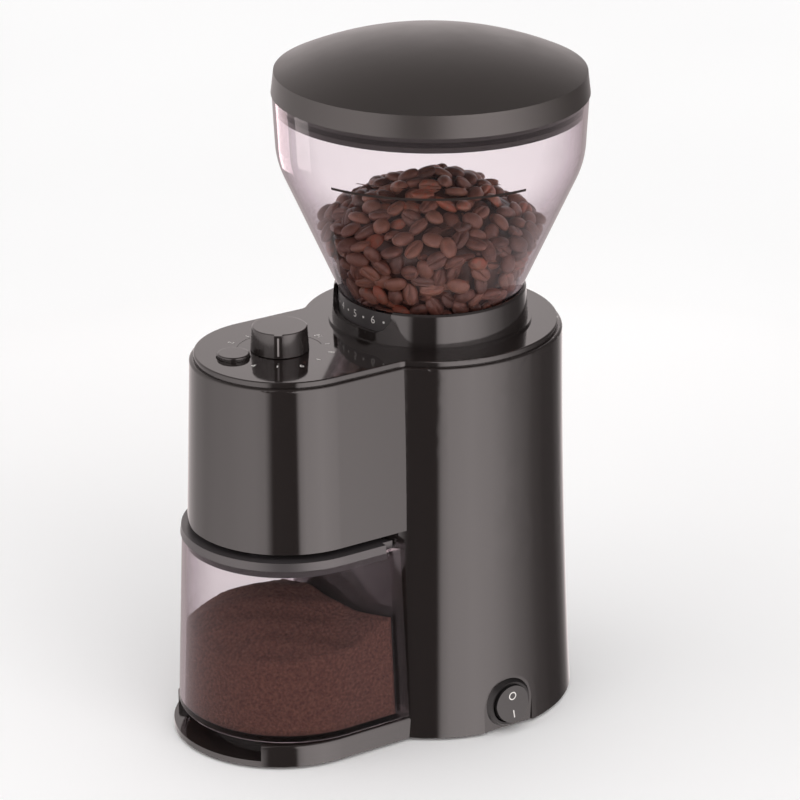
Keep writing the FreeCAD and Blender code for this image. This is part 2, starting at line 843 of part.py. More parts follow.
# The burr chamber and the chute
def burr_chamber():
    floor_radius = gearbox_outer
    cup = turned(outline(
        (bush_radius + press_gap, chamber_z),
        (floor_radius, chamber_z),
        (floor_radius, chamber_floor_z),
        (chamber_outer, chamber_floor_z),
        (chamber_outer, chamber_top_z),
        (chamber_inner, chamber_top_z),
        (chamber_inner, chamber_floor_z),
        (bush_boss_radius, chamber_floor_z),
        (bush_boss_radius, bush_top_z),
        (bush_radius + press_gap, bush_top_z)))
    ears = []
    for x, y in ear_places:
        pad = cylinder(cover_boss_radius + ear_margin, ear_z - chamber_ear_thick, ear_z, x, y)
        ears.append(pad.cut(cylinder(chamber_inner, ear_z - chamber_ear_thick, ear_z)))
    ribs = []
    for angle in key_angles:
        for side in (1, -1):
            rib = block(chamber_inner - rib_depth, chamber_inner + over, -rib_thick / 2, rib_thick / 2,
                        key_low - rib_overrun, key_low + carrier_key_height + rib_overrun)
            rib.translate(Vector(0, side * (carrier_key_width / 2 + moving_gap + rib_thick / 2), 0))
            rib.rotate(origin, upward, angle)
            ribs.append(rib)
    cup = cup.fuse(ears + ribs)
    outlet = block(-chamber_outer, -chamber_inner / 2, -outlet_half, outlet_half,
                   chamber_floor_z, chamber_floor_z + outlet_height)
    outlet_top = chamber_floor_z + outlet_height
    cuts = [outlet.cut(cylinder(chamber_inner - over, chamber_floor_z, outlet_top))]
    for x, y in ear_places:
        cuts.append(cylinder(screw_radius + seam, ear_z - chamber_ear_thick, ear_z, x, y))
    for x, y in gearbox_places:
        cuts.append(cylinder(screw_radius + press_gap, chamber_z, chamber_floor_z, x, y))
    return cup.cut(cuts).removeSplitter()


def chute_section(x, low, half, height):
    high = low + height
    corners = [Vector(x, -half, low), Vector(x, half, low), Vector(x, half, high), Vector(x, -half, high)]
    return Part.makePolygon(corners + corners[:1])


def chute():
    start = outlet_half - chamber_outer
    end = -spout_reach
    half = outlet_half
    low = chamber_floor_z
    drop_low = low - chute_fall
    spout_top = drop_low + outlet_height + spout_headroom
    level_end = -gearbox_outer - seam
    wide = half + chute_wall
    tall = outlet_height + 2 * chute_wall
    outer = Part.makeLoft([chute_section(start, low, wide, tall), chute_section(level_end, low, wide, tall),
                           chute_section(end, drop_low, wide, tall)], True, True)
    low += chute_wall
    drop_low += chute_wall
    inner = Part.makeLoft([chute_section(start, low, half, outlet_height),
                           chute_section(level_end, low, half, outlet_height),
                           chute_section(end, drop_low, half, outlet_height)], True, True)
    inner_spout = cylinder(spout_radius - chute_wall, lobe_floor_z, spout_top - chute_wall, end)
    outer = outer.fuse(cylinder(spout_radius, lobe_floor_z, spout_top, end))
    duct = outer.cut([inner, inner_spout])
    return duct.cut(cylinder(chamber_outer + seam, chamber_z, shell_top_z))


def chamber_screws():
    seat_z = ear_z - chamber_ear_thick
    length = chamber_ear_thick + cover_boss_drop - screw_tip_gap
    return Part.makeCompound([screw(x, y, seat_z, length) for x, y in ear_places])


# The burrs
def star(teeth, crest, cut, z, turn):
    # saw-tooth ring: each crest falls steeply by cut, then climbs to the next
    pitch = 2 * math.pi / teeth
    points = []
    for tooth in range(teeth):
        points.append(polar(crest, turn + tooth * pitch, z))
        points.append(polar(crest - cut, turn + (tooth + tooth_steep) * pitch, z))
    return Part.makePolygon(points + points[:1])


def spiral(teeth, levels, cut, twist):
    # teeth that wind up a cone: levels are (crest radius, z), each turned further by twist of a pitch
    pitch = 2 * math.pi / teeth
    sections = []
    for step, (crest, z) in enumerate(levels):
        sections.append(star(teeth, crest, cut, z, step * twist * pitch))
    return Part.makeLoft(sections, True, True)


def cone_burr():
    middle = ((burr_base_radius + burr_fine_radius) / 2, (burr_z + fine_top_z) / 2)
    fine_levels = [(burr_base_radius, burr_z), middle, (burr_fine_radius, fine_top_z)]
    fine = spiral(burr_fine_teeth, fine_levels, burr_fine_cut, fine_twist)
    flute_base = burr_fine_radius - burr_fine_cut
    flute_tip = burr_tip_radius + burr_flute_cut
    levels = []
    for step in range(flute_steps + 1):
        share = step / flute_steps
        crest = flute_base + (flute_tip - flute_base) * share
        levels.append((crest, fine_top_z + burr_cone_height * share))
    flutes = spiral(burr_flutes, levels, burr_flute_cut, flute_twist)
    bore = cylinder(shaft_radius + press_gap, burr_z, cone_top_z)
    return fine.fuse(flutes).cut(bore)


def ring_burr():
    low = ring_burr_z
    slope = (burr_base_radius - burr_fine_radius) / burr_fine_height
    low_crest = burr_base_radius - slope * ring_burr_lift + burr_gap
    fine_crest = burr_fine_radius + burr_gap
    cut = burr_fine_cut
    neck = (fine_crest + cut, fine_top_z)
    lower = spiral(burr_fine_teeth, [(low_crest + cut, low), neck], cut, fine_twist)
    upper = spiral(2 * burr_flutes, [neck, (ring_burr_mouth, ring_burr_top_z)], cut, flute_twist)
    blank = cylinder(ring_burr_radius, low, ring_burr_top_z)
    return blank.cut([lower, upper])


def burr_carrier():
    low = ring_burr_z
    high = low + carrier_height
    pocket = ring_burr_radius + seam
    throat = ring_burr_mouth + throat_step
    body = turned(outline(
        (pocket, low),
        (carrier_radius, low),
        (carrier_radius, high),
        (carrier_radius - carrier_throat_wall / 2, high),
        (throat, ring_burr_top_z),
        (pocket, ring_burr_top_z)))
    keys = []
    for angle in key_angles:
        key = block(carrier_radius - over, chamber_inner - moving_gap, -carrier_key_width / 2,
                    carrier_key_width / 2, key_low, key_low + carrier_key_height)
        key.rotate(origin, upward, angle)
        keys.append(key)
    return body.fuse(keys)


def sweeper():
    rim = chamber_inner - sweeper_rim_gap
    top = sweeper_z + sweeper_thick
    disc = turned(outline(
        (shaft_radius + press_gap, hub_z),
        (hub_radius, hub_z),
        (hub_radius, sweeper_z),
        (rim, sweeper_z),
        (rim, top),
        (hub_radius + sweeper_thick, top),
        (hub_radius + sweeper_thick, burr_z),
        (shaft_radius + press_gap, burr_z)))
    blades = []
    for step in range(sweeper_blades):
        blade = block(hub_radius + sweeper_thick / 2, rim, -sweeper_blade_width / 2,
                      sweeper_blade_width / 2, sweeper_z, burr_z)
        blade.rotate(origin, upward, step * 360 / sweeper_blades)
        blades.append(blade)
    return disc.fuse(blades)


# The shaft and what carries it
def burr_shaft():
    return cylinder(shaft_radius, shaft_z, cone_top_z).fuse(
        cylinder(stud_radius, cone_top_z, cone_top_z + stud_length)).removeSplitter()


def burr_nut():
    corner = nut_across_flats / 2 / math.cos(math.pi / 6)
    points = [polar(corner, step * math.pi / 3, cone_top_z) for step in range(6)]
    bore = cylinder(stud_radius + press_gap, cone_top_z, cone_top_z + nut_height)
    return prism(points, nut_height).cut(bore)


def shaft_bush():
    return ring(bush_radius, shaft_radius + running_fit, chamber_z, bush_top_z)


def shaft_seal():
    return ring(bush_boss_radius, shaft_radius + running_fit, bush_top_z, seal_ring_top_z)


def shaft_bearing():
    return ring(bearing_radius, shaft_radius + running_fit, chamber_z - bearing_width, chamber_z)


# The gear train
def gear(teeth, shift, low, width, turn):
    pitch_radius = gear_module * teeth / 2
    base_radius = pitch_radius * math.cos(pressure_angle)
    tip = pitch_radius + gear_module * (addendum + shift)
    root = pitch_radius - gear_module * (dedendum - shift)
    half = (math.pi / 2 + 2 * shift * math.tan(pressure_angle)) / teeth - tooth_backlash / 2 / pitch_radius
    involute = math.tan(pressure_angle) - pressure_angle
    start = max(base_radius, root)
    flank = []
    for step in range(flank_steps + 1):
        radius = start + (tip - start) * step / flank_steps
        roll = math.acos(min(1.0, base_radius / radius))
        flank.append((radius, half + involute - math.tan(roll) + roll))
    if root < start - tiny:
        flank.insert(0, (root, flank[0][1]))
    points = []
    for tooth in range(teeth):
        middle = turn + 2 * math.pi * tooth / teeth
        points += [polar(radius, middle - angle, low) for radius, angle in flank]
        points += [polar(radius, middle + angle, low) for radius, angle in reversed(flank)]
    return prism(points, width)


def motor_pinion():
    low = first_stage_z - gear_overlap
    width = first_stage_width + 2 * gear_overlap
    blank = gear(pinion_teeth, pinion_shift, low, width, 0)
    return blank.cut(cylinder(motor_shaft_radius + press_gap, low, low + width))


def idler_gear():
    wheel = gear(wheel_teeth, -pinion_shift, first_stage_z, first_stage_width, math.pi / wheel_teeth)
    low = first_stage_z + first_stage_width
    top = second_stage_z + second_stage_width + gear_overlap
    small = gear(idler_teeth, 0, low, top - low, 0)
    shape = wheel.fuse(small).cut(cylinder(idler_pin_radius + running_fit, first_stage_z, top))
    shape.translate(Vector(gear_centre, 0, 0))
    return shape


def output_gear():
    wheel = gear(output_teeth, 0, second_stage_z, second_stage_width, math.pi / output_teeth)
    top = second_stage_z + second_stage_width
    dish = ring(output_teeth * gear_module / 2 - gear_rim, shaft_radius + gear_rim,
                second_stage_z + second_stage_width / 2, top)
    return wheel.cut([dish, cylinder(shaft_radius + press_gap, second_stage_z, top)])


def idler_pin():
    return cylinder(idler_pin_radius, gearbox_floor_z - pin_seat, gearbox_cover_z + pin_seat, gear_centre)


def gearbox_housing():
    cup = ring(gearbox_outer, gearbox_inner, gearbox_floor_z, gearbox_cover_z)
    cup = cup.fuse(cylinder(gearbox_outer, gearbox_z, gearbox_floor_z))
    bosses = [cylinder(2 * idler_pin_radius, gearbox_floor_z, first_stage_z - thread_gap, gear_centre)]
    for x, y in gearbox_places:
        bosses.append(cylinder(gearbox_boss_radius, gearbox_floor_z, gearbox_cover_z, x, y))
    cup = cup.fuse(bosses)
    cuts = [
        cylinder(motor_boss_radius + seam, gearbox_z, gearbox_floor_z),
        cylinder(idler_pin_radius + press_gap, gearbox_floor_z - pin_seat, first_stage_z, gear_centre),
    ]
    for x, y in gearbox_places:
        cuts.append(cylinder(screw_radius + seam, gearbox_z, gearbox_cover_z, x, y))
    for x, y in motor_screw_places:
        cuts.append(cylinder(screw_radius + seam, gearbox_z, gearbox_floor_z, x, y))
    return cup.cut(cuts).removeSplitter()


def gearbox_cover():
    hub_low = chamber_z - bearing_width - bearing_lip
    plate = cylinder(gearbox_outer, gearbox_cover_z, chamber_z)
    plate = plate.fuse(cylinder(bearing_radius + gearbox_wall, hub_low, gearbox_cover_z))
    cuts = [
        cylinder(bearing_radius + press_gap, chamber_z - bearing_width, chamber_z),
        cylinder(bearing_radius - bearing_ledge, hub_low, chamber_z),
        cylinder(idler_pin_radius + press_gap, gearbox_cover_z, gearbox_cover_z + pin_seat, gear_centre),
    ]
    for x, y in gearbox_places:
        cuts.append(cylinder(screw_radius + seam, gearbox_cover_z, chamber_z, x, y))
    idler_room = gear_module * (idler_teeth / 2 + addendum) + moving_gap
    cuts.append(cylinder(idler_room, hub_low, gearbox_cover_z, gear_centre))
    return plate.cut(cuts).removeSplitter()


def gearbox_screws():
    length = chamber_floor_z - gearbox_z
    return Part.makeCompound([screw(x, y, gearbox_z, length) for x, y in gearbox_places])


# The motor
def motor_can():
    inner = motor_radius - motor_wall
    can = turned(outline(
        (motor_shaft_radius + running_fit, gearbox_z - motor_wall),
        (inner, gearbox_z - motor_wall),
        (inner, can_z),
        (motor_radius, can_z),
        (motor_radius, gearbox_z),
        (motor_boss_radius, gearbox_z),
        (motor_boss_radius, gearbox_floor_z - motor_boss_step),
        (motor_shaft_radius + running_fit, gearbox_floor_z - motor_boss_step)))
    holes = [cylinder(screw_radius + press_gap, gearbox_z - motor_wall, gearbox_z, x, y)
             for x, y in motor_screw_places]
    return can.cut(holes)


def magnet_span():
    middle = (can_z + gearbox_z - motor_wall) / 2
    half = (gearbox_z - motor_wall - can_z) * magnet_share / 2
    return middle - half, middle + half


def motor_magnets():
    outer = motor_radius - motor_wall - press_gap
    inner = outer - magnet_thick
    low, high = magnet_span()
    shells = []
    for turn in (0, 180):
        section = outline((inner, low), (outer, low), (outer, high), (inner, high))
        section.rotate(origin, upward, turn - magnet_half_angle)
        shells.append(section.revolve(origin, upward, 2 * magnet_half_angle))
    return Part.makeCompound(shells)


def motor_end_cap():
    inner = motor_radius - motor_wall - press_gap
    bearing = motor_shaft_radius + end_bearing_wall
    cap = turned(outline(
        (motor_shaft_radius + running_fit, motor_z),
        (motor_radius - motor_wall, motor_z),
        (motor_radius, motor_z + motor_wall),
        (motor_radius, can_z),
        (inner, can_z),
        (inner, can_z + end_cap_lip),
        (inner - motor_wall, can_z + end_cap_lip),
        (inner - motor_wall, motor_z + motor_wall),
        (bearing, motor_z + motor_wall),
        (bearing, can_z),
        (motor_shaft_radius + running_fit, can_z)))
    vents = []
    for step in range(vent_count):
        vent = block(motor_radius / 2, inner - 2 * motor_wall, -vent_width / 2, vent_width / 2,
                     motor_z, motor_z + motor_wall)
        vent.rotate(origin, upward, (step + 0.5) * 360 / vent_count)
        vents.append(vent)
    return cap.cut(vents)


def motor_shaft():
    low, high = magnet_span()
    core = cylinder(armature_radius, low, high)
    slots = []
    for step in range(armature_slots):
        slot = block(armature_slot_floor, armature_radius + over, -armature_slot_width / 2,
                     armature_slot_width / 2, low, high)
        slot.rotate(origin, upward, step * 360 / armature_slots)
        slots.append(slot)
    winding_low = low - winding_overhang
    windings = cylinder(winding_radius, winding_low, high + winding_overhang)
    commutator = cylinder(commutator_radius, winding_low - commutator_length, winding_low)
    shaft = cylinder(motor_shaft_radius, motor_z + shaft_end_gap,
                     first_stage_z + first_stage_width + gear_overlap)
    return shaft.fuse([core.cut(slots), windings, commutator]).removeSplitter()


def motor_cushion():
    outer = motor_radius - motor_wall
    return turned(outline(
        (outer - cushion_wall, base_top_z),
        (outer, base_top_z),
        (outer - cushion_waist, (base_top_z + motor_z) / 2, outer, motor_z),
        (outer - cushion_wall, motor_z)))


def motor_screws():
    screws = []
    for x, y in motor_screw_places:
        head = cylinder(screw_head_radius, gearbox_floor_z, gearbox_floor_z + screw_head_height, x, y)
        shank = cylinder(screw_radius, gearbox_z - motor_wall, gearbox_floor_z, x, y)
        screws.append(head.fuse(shank).removeSplitter())
    return Part.makeCompound(screws)


# The board and the controls
def control_board():
    section = outline((0, board_z), (board_half, board_z), (board_half, board_top_z), (0, board_top_z))
    board = u_shape(section, lobe_centre, board_run)
    holes = [cylinder(screw_radius + seam, board_z, board_top_z, -x, y) for x, y in post_places]
    return board.cut(holes)


def board_screws():
    length = shell_top_z - board_z - screw_tip_gap
    return Part.makeCompound([screw(-x, y, board_z, length) for x, y in post_places])


def dial_potentiometer():
    top = board_top_z + pot_height
    bush = dial_shaft_radius + running_fit + pot_bush_wall
    body = turned(outline(
        (0, board_top_z),
        (pot_radius, board_top_z),
        (pot_radius, top),
        (bush, top),
        (bush, top + pot_bush_height),
        (dial_shaft_radius + running_fit, top + pot_bush_height),
        (dial_shaft_radius + running_fit, board_top_z + pot_height / 2),
        (0, board_top_z + pot_height / 2)))
    return body.translated(Vector(-dial_x, dial_y, 0))


dial_z = cover_top_z + moving_gap
dial_top_z = dial_z + dial_height


def dial_shaft():
    low = board_top_z + pot_height / 2 + running_fit
    return cylinder(dial_shaft_radius, low, dial_top_z - dial_skin, -dial_x, dial_y)


def dial_knob():
    inner = dial_radius - dial_skin
    edge = dial_edge_round
    cap = turned(outline(
        (inner, dial_z),
        (dial_radius + dial_flare, dial_z),
        (dial_radius, dial_top_z - edge),
        (dial_radius - round_mid(edge), dial_top_z - round_mid(edge), dial_radius - edge, dial_top_z),
        (0, dial_top_z),
        (0, dial_top_z - dial_skin),
        (inner, dial_top_z - dial_skin)))
    hub = ring(dial_hub_radius, dial_shaft_radius + press_gap, dial_z, dial_top_z - dial_skin)
    pointer = block(inner + dial_skin / 2, dial_radius + dial_pointer_proud, -dial_pointer_width / 2,
                    dial_pointer_width / 2, dial_z, dial_top_z)
    pointer.rotate(origin, upward, dial_pointer_angle)
    knob = cap.fuse([hub, pointer]).removeSplitter()
    return knob.translated(Vector(-dial_x, dial_y, 0))


plunger_z = board_top_z + button_travel + 2 * thread_gap
plunger_top_z = board_top_z + tact_height + 2 * button_travel


def start_button():
    top = cover_top_z + button_proud
    flange_top = shell_top_z - thread_gap
    edge = button_edge_round
    cap = turned(outline(
        (0, plunger_top_z),
        (button_stem_radius, plunger_top_z),
        (button_stem_radius, flange_top - button_flange_thick),
        (button_radius + button_flange, flange_top - button_flange_thick),
        (button_radius + button_flange, flange_top),
        (button_radius, flange_top),
        (button_radius, top - edge),
        (button_radius - round_mid(edge), top - round_mid(edge), button_radius - edge, top),
        (0, top)))
    return cap.translated(Vector(-button_x, button_y, 0))


def button_plunger():
    return cylinder(plunger_radius, plunger_z, plunger_top_z, -button_x, button_y)


def tact_switch():
    half = tact_size / 2
    top = board_top_z + tact_height
    body = block(-half, half, -half, half, board_top_z, top)
    body = body.cut(cylinder(plunger_radius + moving_gap / 2, board_top_z + thread_gap, top))
    return body.translated(Vector(-button_x, button_y, 0))


# The mains switch, drawn facing up about its own axis and then turned to face -Y
def face_front(shape):
    shape.rotate(origin, Vector(1, 0, 0), 90)
    shape.translate(Vector(0, -panel_y, switch_z))
    return shape


def rocker_pins(gap):
    half = rocker_radius + rocker_gap + rocker_pin_seat + gap
    return Part.makeCylinder(rocker_pin_radius + gap, 2 * half, Vector(-half, 0, 0), Vector(1, 0, 0))


def switch_body():
    bore = rocker_radius + rocker_gap
    floor = -rocker_tail - rocker_room
    shell = turned(outline(
        (bore, floor),
        (bore, bezel_proud),
        (bezel_radius - bezel_bevel, bezel_proud),
        (bezel_radius, 0),
        (switch_barrel_radius, 0),
        (switch_barrel_radius, -switch_depth),
        (0, -switch_depth),
        (0, floor)))
    terminals = []
    for step in (-1, 0, 1):
        x = step * terminal_pitch
        terminals.append(block(x - terminal_thick / 2, x + terminal_thick / 2, -terminal_width / 2,
                               terminal_width / 2, -switch_depth - terminal_length, -switch_depth))
    return face_front(shell.fuse(terminals).cut(rocker_pins(running_fit)))


def rocker():
    # two flat faces that meet over the pivot; at rest the upper one is pressed in
    half = rocker_radius + over
    rise = half * math.tan(math.radians(rocker_tilt))
    cap = cylinder(rocker_radius, -rocker_tail, rocker_proud + rise)
    roof = outline(
        (-half, -rocker_tail),
        (half, -rocker_tail),
        (half, rocker_proud + rise),
        (0, rocker_proud),
        (-half, rocker_proud + rise))
    roof.rotate(origin, upward, 90)
    roof.translate(Vector(-half, 0, 0))
    cap = cap.common(roof.extrude(Vector(2 * half, 0, 0)))
    cap.rotate(origin, Vector(1, 0, 0), -rocker_tilt)
    return face_front(cap.fuse(rocker_pins(0)).removeSplitter())


pieces = [
    main_housing, dispenser_housing, top_cover, hopper_collar, base_plate, feet, base_screws, cord_gland,
    hopper, grind_ring, hopper_lid, lid_seal, container, container_lid,
    burr_chamber, chute, chamber_screws, cone_burr, ring_burr, burr_carrier, sweeper,
    burr_shaft, burr_nut, shaft_bush, shaft_seal, shaft_bearing,
    motor_pinion, idler_gear, output_gear, idler_pin, gearbox_housing, gearbox_cover, gearbox_screws,
    motor_can, motor_magnets, motor_end_cap, motor_shaft, motor_cushion, motor_screws,
    control_board, board_screws, dial_potentiometer, dial_shaft, dial_knob,
    start_button, button_plunger, tact_switch, switch_body, rocker,
]

for piece in pieces:
    shape = piece()
    shape.translate(Vector(axis_x, 0, 0))
    shape.exportStep(os.path.join("parts", piece.__name__ + ".step"))
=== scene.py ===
import bpy
import json
import math
import numpy as np
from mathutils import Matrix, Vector

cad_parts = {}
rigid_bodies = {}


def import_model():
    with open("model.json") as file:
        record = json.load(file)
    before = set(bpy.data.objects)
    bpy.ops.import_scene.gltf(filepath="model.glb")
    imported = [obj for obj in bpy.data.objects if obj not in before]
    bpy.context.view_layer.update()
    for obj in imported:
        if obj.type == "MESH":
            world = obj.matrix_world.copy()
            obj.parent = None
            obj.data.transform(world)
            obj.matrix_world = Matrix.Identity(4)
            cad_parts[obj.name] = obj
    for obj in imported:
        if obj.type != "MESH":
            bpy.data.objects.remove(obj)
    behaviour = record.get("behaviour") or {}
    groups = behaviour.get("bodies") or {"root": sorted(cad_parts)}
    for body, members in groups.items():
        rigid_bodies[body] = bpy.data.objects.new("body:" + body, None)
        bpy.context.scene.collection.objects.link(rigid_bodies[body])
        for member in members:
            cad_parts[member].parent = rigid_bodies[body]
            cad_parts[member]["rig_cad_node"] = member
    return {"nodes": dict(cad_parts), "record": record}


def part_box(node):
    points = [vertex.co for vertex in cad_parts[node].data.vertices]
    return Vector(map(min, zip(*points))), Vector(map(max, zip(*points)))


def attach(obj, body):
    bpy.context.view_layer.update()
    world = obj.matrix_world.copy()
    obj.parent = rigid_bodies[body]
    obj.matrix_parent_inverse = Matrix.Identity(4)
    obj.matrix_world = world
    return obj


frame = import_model()
strays = [item for item in bpy.data.objects if "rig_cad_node" not in item and not item.name.startswith("body:")]
for stray in strays:
    bpy.data.objects.remove(stray)  # whatever Blender opened with
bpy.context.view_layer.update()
print("frame loaded:", len(frame["nodes"]), "nodes")

mm = 0.001
scene = bpy.context.scene
scene.view_settings.view_transform = "Standard"
hopperLow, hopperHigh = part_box("hopper")
axisX = (hopperLow.x + hopperHigh.x) / 2  # the grinder's upright axis


def linear(hexColour):
    parts = [int(hexColour[i:i + 2], 16) / 255 for i in (1, 3, 5)]
    return tuple(c / 12.92 if c <= 0.04045 else ((c + 0.055) / 1.055) ** 2.4 for c in parts) + (1.0,)


def addNode(tree, kind, settings=None, links=None, stops=None):
    node = tree.nodes.new(kind)
    for name, value in (settings or {}).items():
        if isinstance(name, int) or name in node.inputs:
            node.inputs[name].default_value = value
        else:
            setattr(node, name, value)
    for name, source in (links or {}).items():
        tree.links.new(source, node.inputs[name])
    if stops:
        points = node.color_ramp.elements
        while len(points) < len(stops):
            points.new(0.5)
        for point, (where, colour) in zip(points, stops):
            point.position = where
            point.color = linear(colour) if isinstance(colour, str) else (colour, colour, colour, 1)
    return node


def mathOf(tree, operation, first, second):
    return addNode(tree, "ShaderNodeMath", {"operation": operation}, {0: first, 1: second}).outputs[0]


def noiseOf(tree, place, size, detail, settings=None):
    wanted = {"Scale": 1 / size, "Detail": detail, **(settings or {})}
    return addNode(tree, "ShaderNodeTexNoise", wanted, {"Vector": place}).outputs[0]


def toneFrom(tree, shader, source, stops):
    tone = addNode(tree, "ShaderNodeValToRGB", stops=stops, links={"Fac": source})
    tree.links.new(tone.outputs[0], shader.inputs["Base Color"])


def bumpFrom(tree, shader, source, strength, height):
    bump = addNode(tree, "ShaderNodeBump", {"Strength": strength, "Distance": height}, {"Height": source})
    tree.links.new(bump.outputs[0], shader.inputs["Normal"])


def roughFrom(tree, shader, source, make):
    low, high = (make["roughness"] + shift for shift in make["spread"])
    level = addNode(tree, "ShaderNodeMapRange", {"To Min": low, "To Max": high}, {"Value": source})
    tree.links.new(level.outputs[0], shader.inputs["Roughness"])


def showSurface(tree, node):
    tree.links.new(node.outputs[0], tree.nodes["Material Output"].inputs["Surface"])


def startMaterial(name, colour, roughness, settings=None):
    material = bpy.data.materials.new(name)
    material.use_nodes = True
    tree = material.node_tree
    shader = tree.nodes["Principled BSDF"]
    shader.inputs["Base Color"].default_value = linear(colour)
    shader.inputs["Roughness"].default_value = roughness
    for socket, value in (settings or {}).items():
        shader.inputs[socket].default_value = value
    place = addNode(tree, "ShaderNodeTexCoord").outputs["Object"]  # metres, because every piece sits at the origin
    return material, tree, shader, place


def startGlow(name):
    material = bpy.data.materials.new(name)
    material.use_nodes = True
    tree = material.node_tree
    tree.nodes.remove(tree.nodes["Principled BSDF"])
    return material, tree


def meshObject(name, points, faces, material):
    mesh = bpy.data.meshes.new(name)
    mesh.from_pydata([tuple(p) for p in points], [], [tuple(f) for f in faces])
    mesh.update()
    mesh.materials.append(material)
    thing = bpy.data.objects.new(name, mesh)
    scene.collection.objects.link(thing)
    return thing


def meshPiece(name, points, faces, material, body, smooth=True):
    piece = meshObject(name, points, faces, material)
    piece.data.polygons.foreach_set("use_smooth", [smooth] * len(piece.data.polygons))
    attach(piece, body)
    return piece


def tubeFaces(rows, turns):
    # the sides between rows of points, each row closed round
    return [(i * turns + j, i * turns + (j + 1) % turns, (i + 1) * turns + (j + 1) % turns, (i + 1) * turns + j)
            for i in range(rows) for j in range(turns)]


def outAndRight(degrees):
    t = math.radians(degrees)
    return Vector((math.cos(t), math.sin(t), 0)), Vector((-math.sin(t), math.cos(t), 0))


# camera, at the photograph's height and side
cameraSpot = {"eye": (-0.85668, -1.29901, 0.76666), "target": (0.01858, 0.00745, 0.13896), "lens": 168.7,
              "sensor": 36, "clipEnd": 30}


def setCamera(spot):
    camera = bpy.data.objects.new("camera", bpy.data.cameras.new("camera"))
    camera.data.lens = spot["lens"]
    camera.data.sensor_width = spot["sensor"]
    camera.data.clip_end = spot["clipEnd"]
    camera.location = spot["eye"]
    camera.rotation_euler = (Vector(spot["target"]) - Vector(spot["eye"])).to_track_quat("-Z", "Y").to_euler()
    scene.collection.objects.link(camera)
    scene.camera = camera


setCamera(cameraSpot)

# studio: pale floor, soft lamps, and the ring of soft boxes that the gloss plastic mirrors
studio = {
    "aim": (0.0, 0.0, 0.14), "camSide": math.atan2(-0.831, -0.556), "ambient": 0.55,
    # degrees round from the camera, degrees up, softness in degrees, strength
    "lamps": {"key": (35, 28, 50, 0.9), "fill": (-70, 28, 70, 0.55), "top": (0, 85, 80, 0.78)}, "lampReach": 2,
    "floor": "#fcfbfb", "floorCloud": "#f9f8f8", "cloud": 0.4, "floorHalf": 6,
    "boxRadius": 0.55, "boxStrength": 4.0, "boxTint": "#fff4f3", "boxRings": 24, "boxTurns": 48,
    # degrees round from the camera, and the brightness there
    "boxes": [(-180, 1.5), (-142, 1.0), (-115, 0.95), (-95, 1.2), (-78, 1.8), (-50, 2.5), (-37, 2.65), (-26, 2.4),
              (-19, 0.14), (5.5, 0.08), (9, 2.6), (15, 3.4), (34, 3.7), (50, 3.2), (62, 2.4), (72, 1.6), (83, 1.0),
              (94, 0.43), (108, 0.18), (124, 0.12), (140, 0.3), (160, 1.1), (180, 1.5)],
    # brightness overhead, and the shares of the radius between which the boxes fade into it
    "overhead": 0.15, "overheadFade": (0.45, 0.95),
    "clear": ("hopper", "container"), "room": 0.5, "roomShare": 0.96,
    # degrees round from the camera, degrees wide, strength
    "strip": (-103, 16, 2.4), "stripHeights": (0.06, 0.2), "stripReach": 0.5,
}


def onlyMirrored(thing):
    thing.visible_camera = thing.visible_diffuse = thing.visible_transmission = thing.visible_shadow = False
    thing.visible_volume_scatter = False


def litShape(name, points, faces, strength, receivers):
    # shines into its receivers' reflections alone, and every other ray passes through it
    glow, tree = startGlow(name)
    light = addNode(tree, "ShaderNodeEmission", {"Strength": strength, "Color": linear(studio["boxTint"])})
    through = addNode(tree, "ShaderNodeBsdfTransparent")
    showSurface(tree, addNode(tree, "ShaderNodeAddShader", links={0: light.outputs[0], 1: through.outputs[0]}))
    shape = meshObject(name, points, faces, glow)
    onlyMirrored(shape)
    lit = bpy.data.collections.new(name + "On")
    for node in receivers:
        lit.objects.link(frame["nodes"][node])
    shape.light_linking.receiver_collection = lit


def keepOut(flagged, thing):
    flagged.objects.link(thing)
    for member in flagged.collection_objects:
        member.light_linking.link_state = "EXCLUDE"


def setWorld(make):
    # white where it is seen or mirrored, dimmer as light
    world = bpy.data.worlds.new("studioRoom")
    scene.world = world
    world.use_nodes = True
    tree = world.node_tree
    back = tree.nodes["Background"]
    back.inputs["Color"].default_value = linear("#ffffff")
    rays = addNode(tree, "ShaderNodeLightPath")
    seen = mathOf(tree, "MAXIMUM", rays.outputs["Is Camera Ray"], rays.outputs["Is Glossy Ray"])
    seen = mathOf(tree, "MAXIMUM", seen, rays.outputs["Is Transmission Ray"])
    level = addNode(tree, "ShaderNodeMapRange", {"To Min": make["ambient"], "To Max": 1.0}, {"Value": seen})
    tree.links.new(level.outputs[0], back.inputs["Strength"])


def setLamps(make):
    for name, (side, height, soft, strength) in make["lamps"].items():
        lamp = bpy.data.objects.new(name, bpy.data.lights.new(name, "SUN"))
        lamp.data.angle = math.radians(soft)
        lamp.data.energy = strength
        turn, lift = make["camSide"] + math.radians(side), math.radians(height)
        ray = Vector((math.cos(turn) * math.cos(lift), math.sin(turn) * math.cos(lift), math.sin(lift)))
        lamp.location = Vector(make["aim"]) + ray * make["lampReach"]
        lamp.rotation_euler = (-ray).to_track_quat("-Z", "Y").to_euler()
        lamp.visible_camera = lamp.visible_glossy = lamp.visible_transmission = False
        scene.collection.objects.link(lamp)


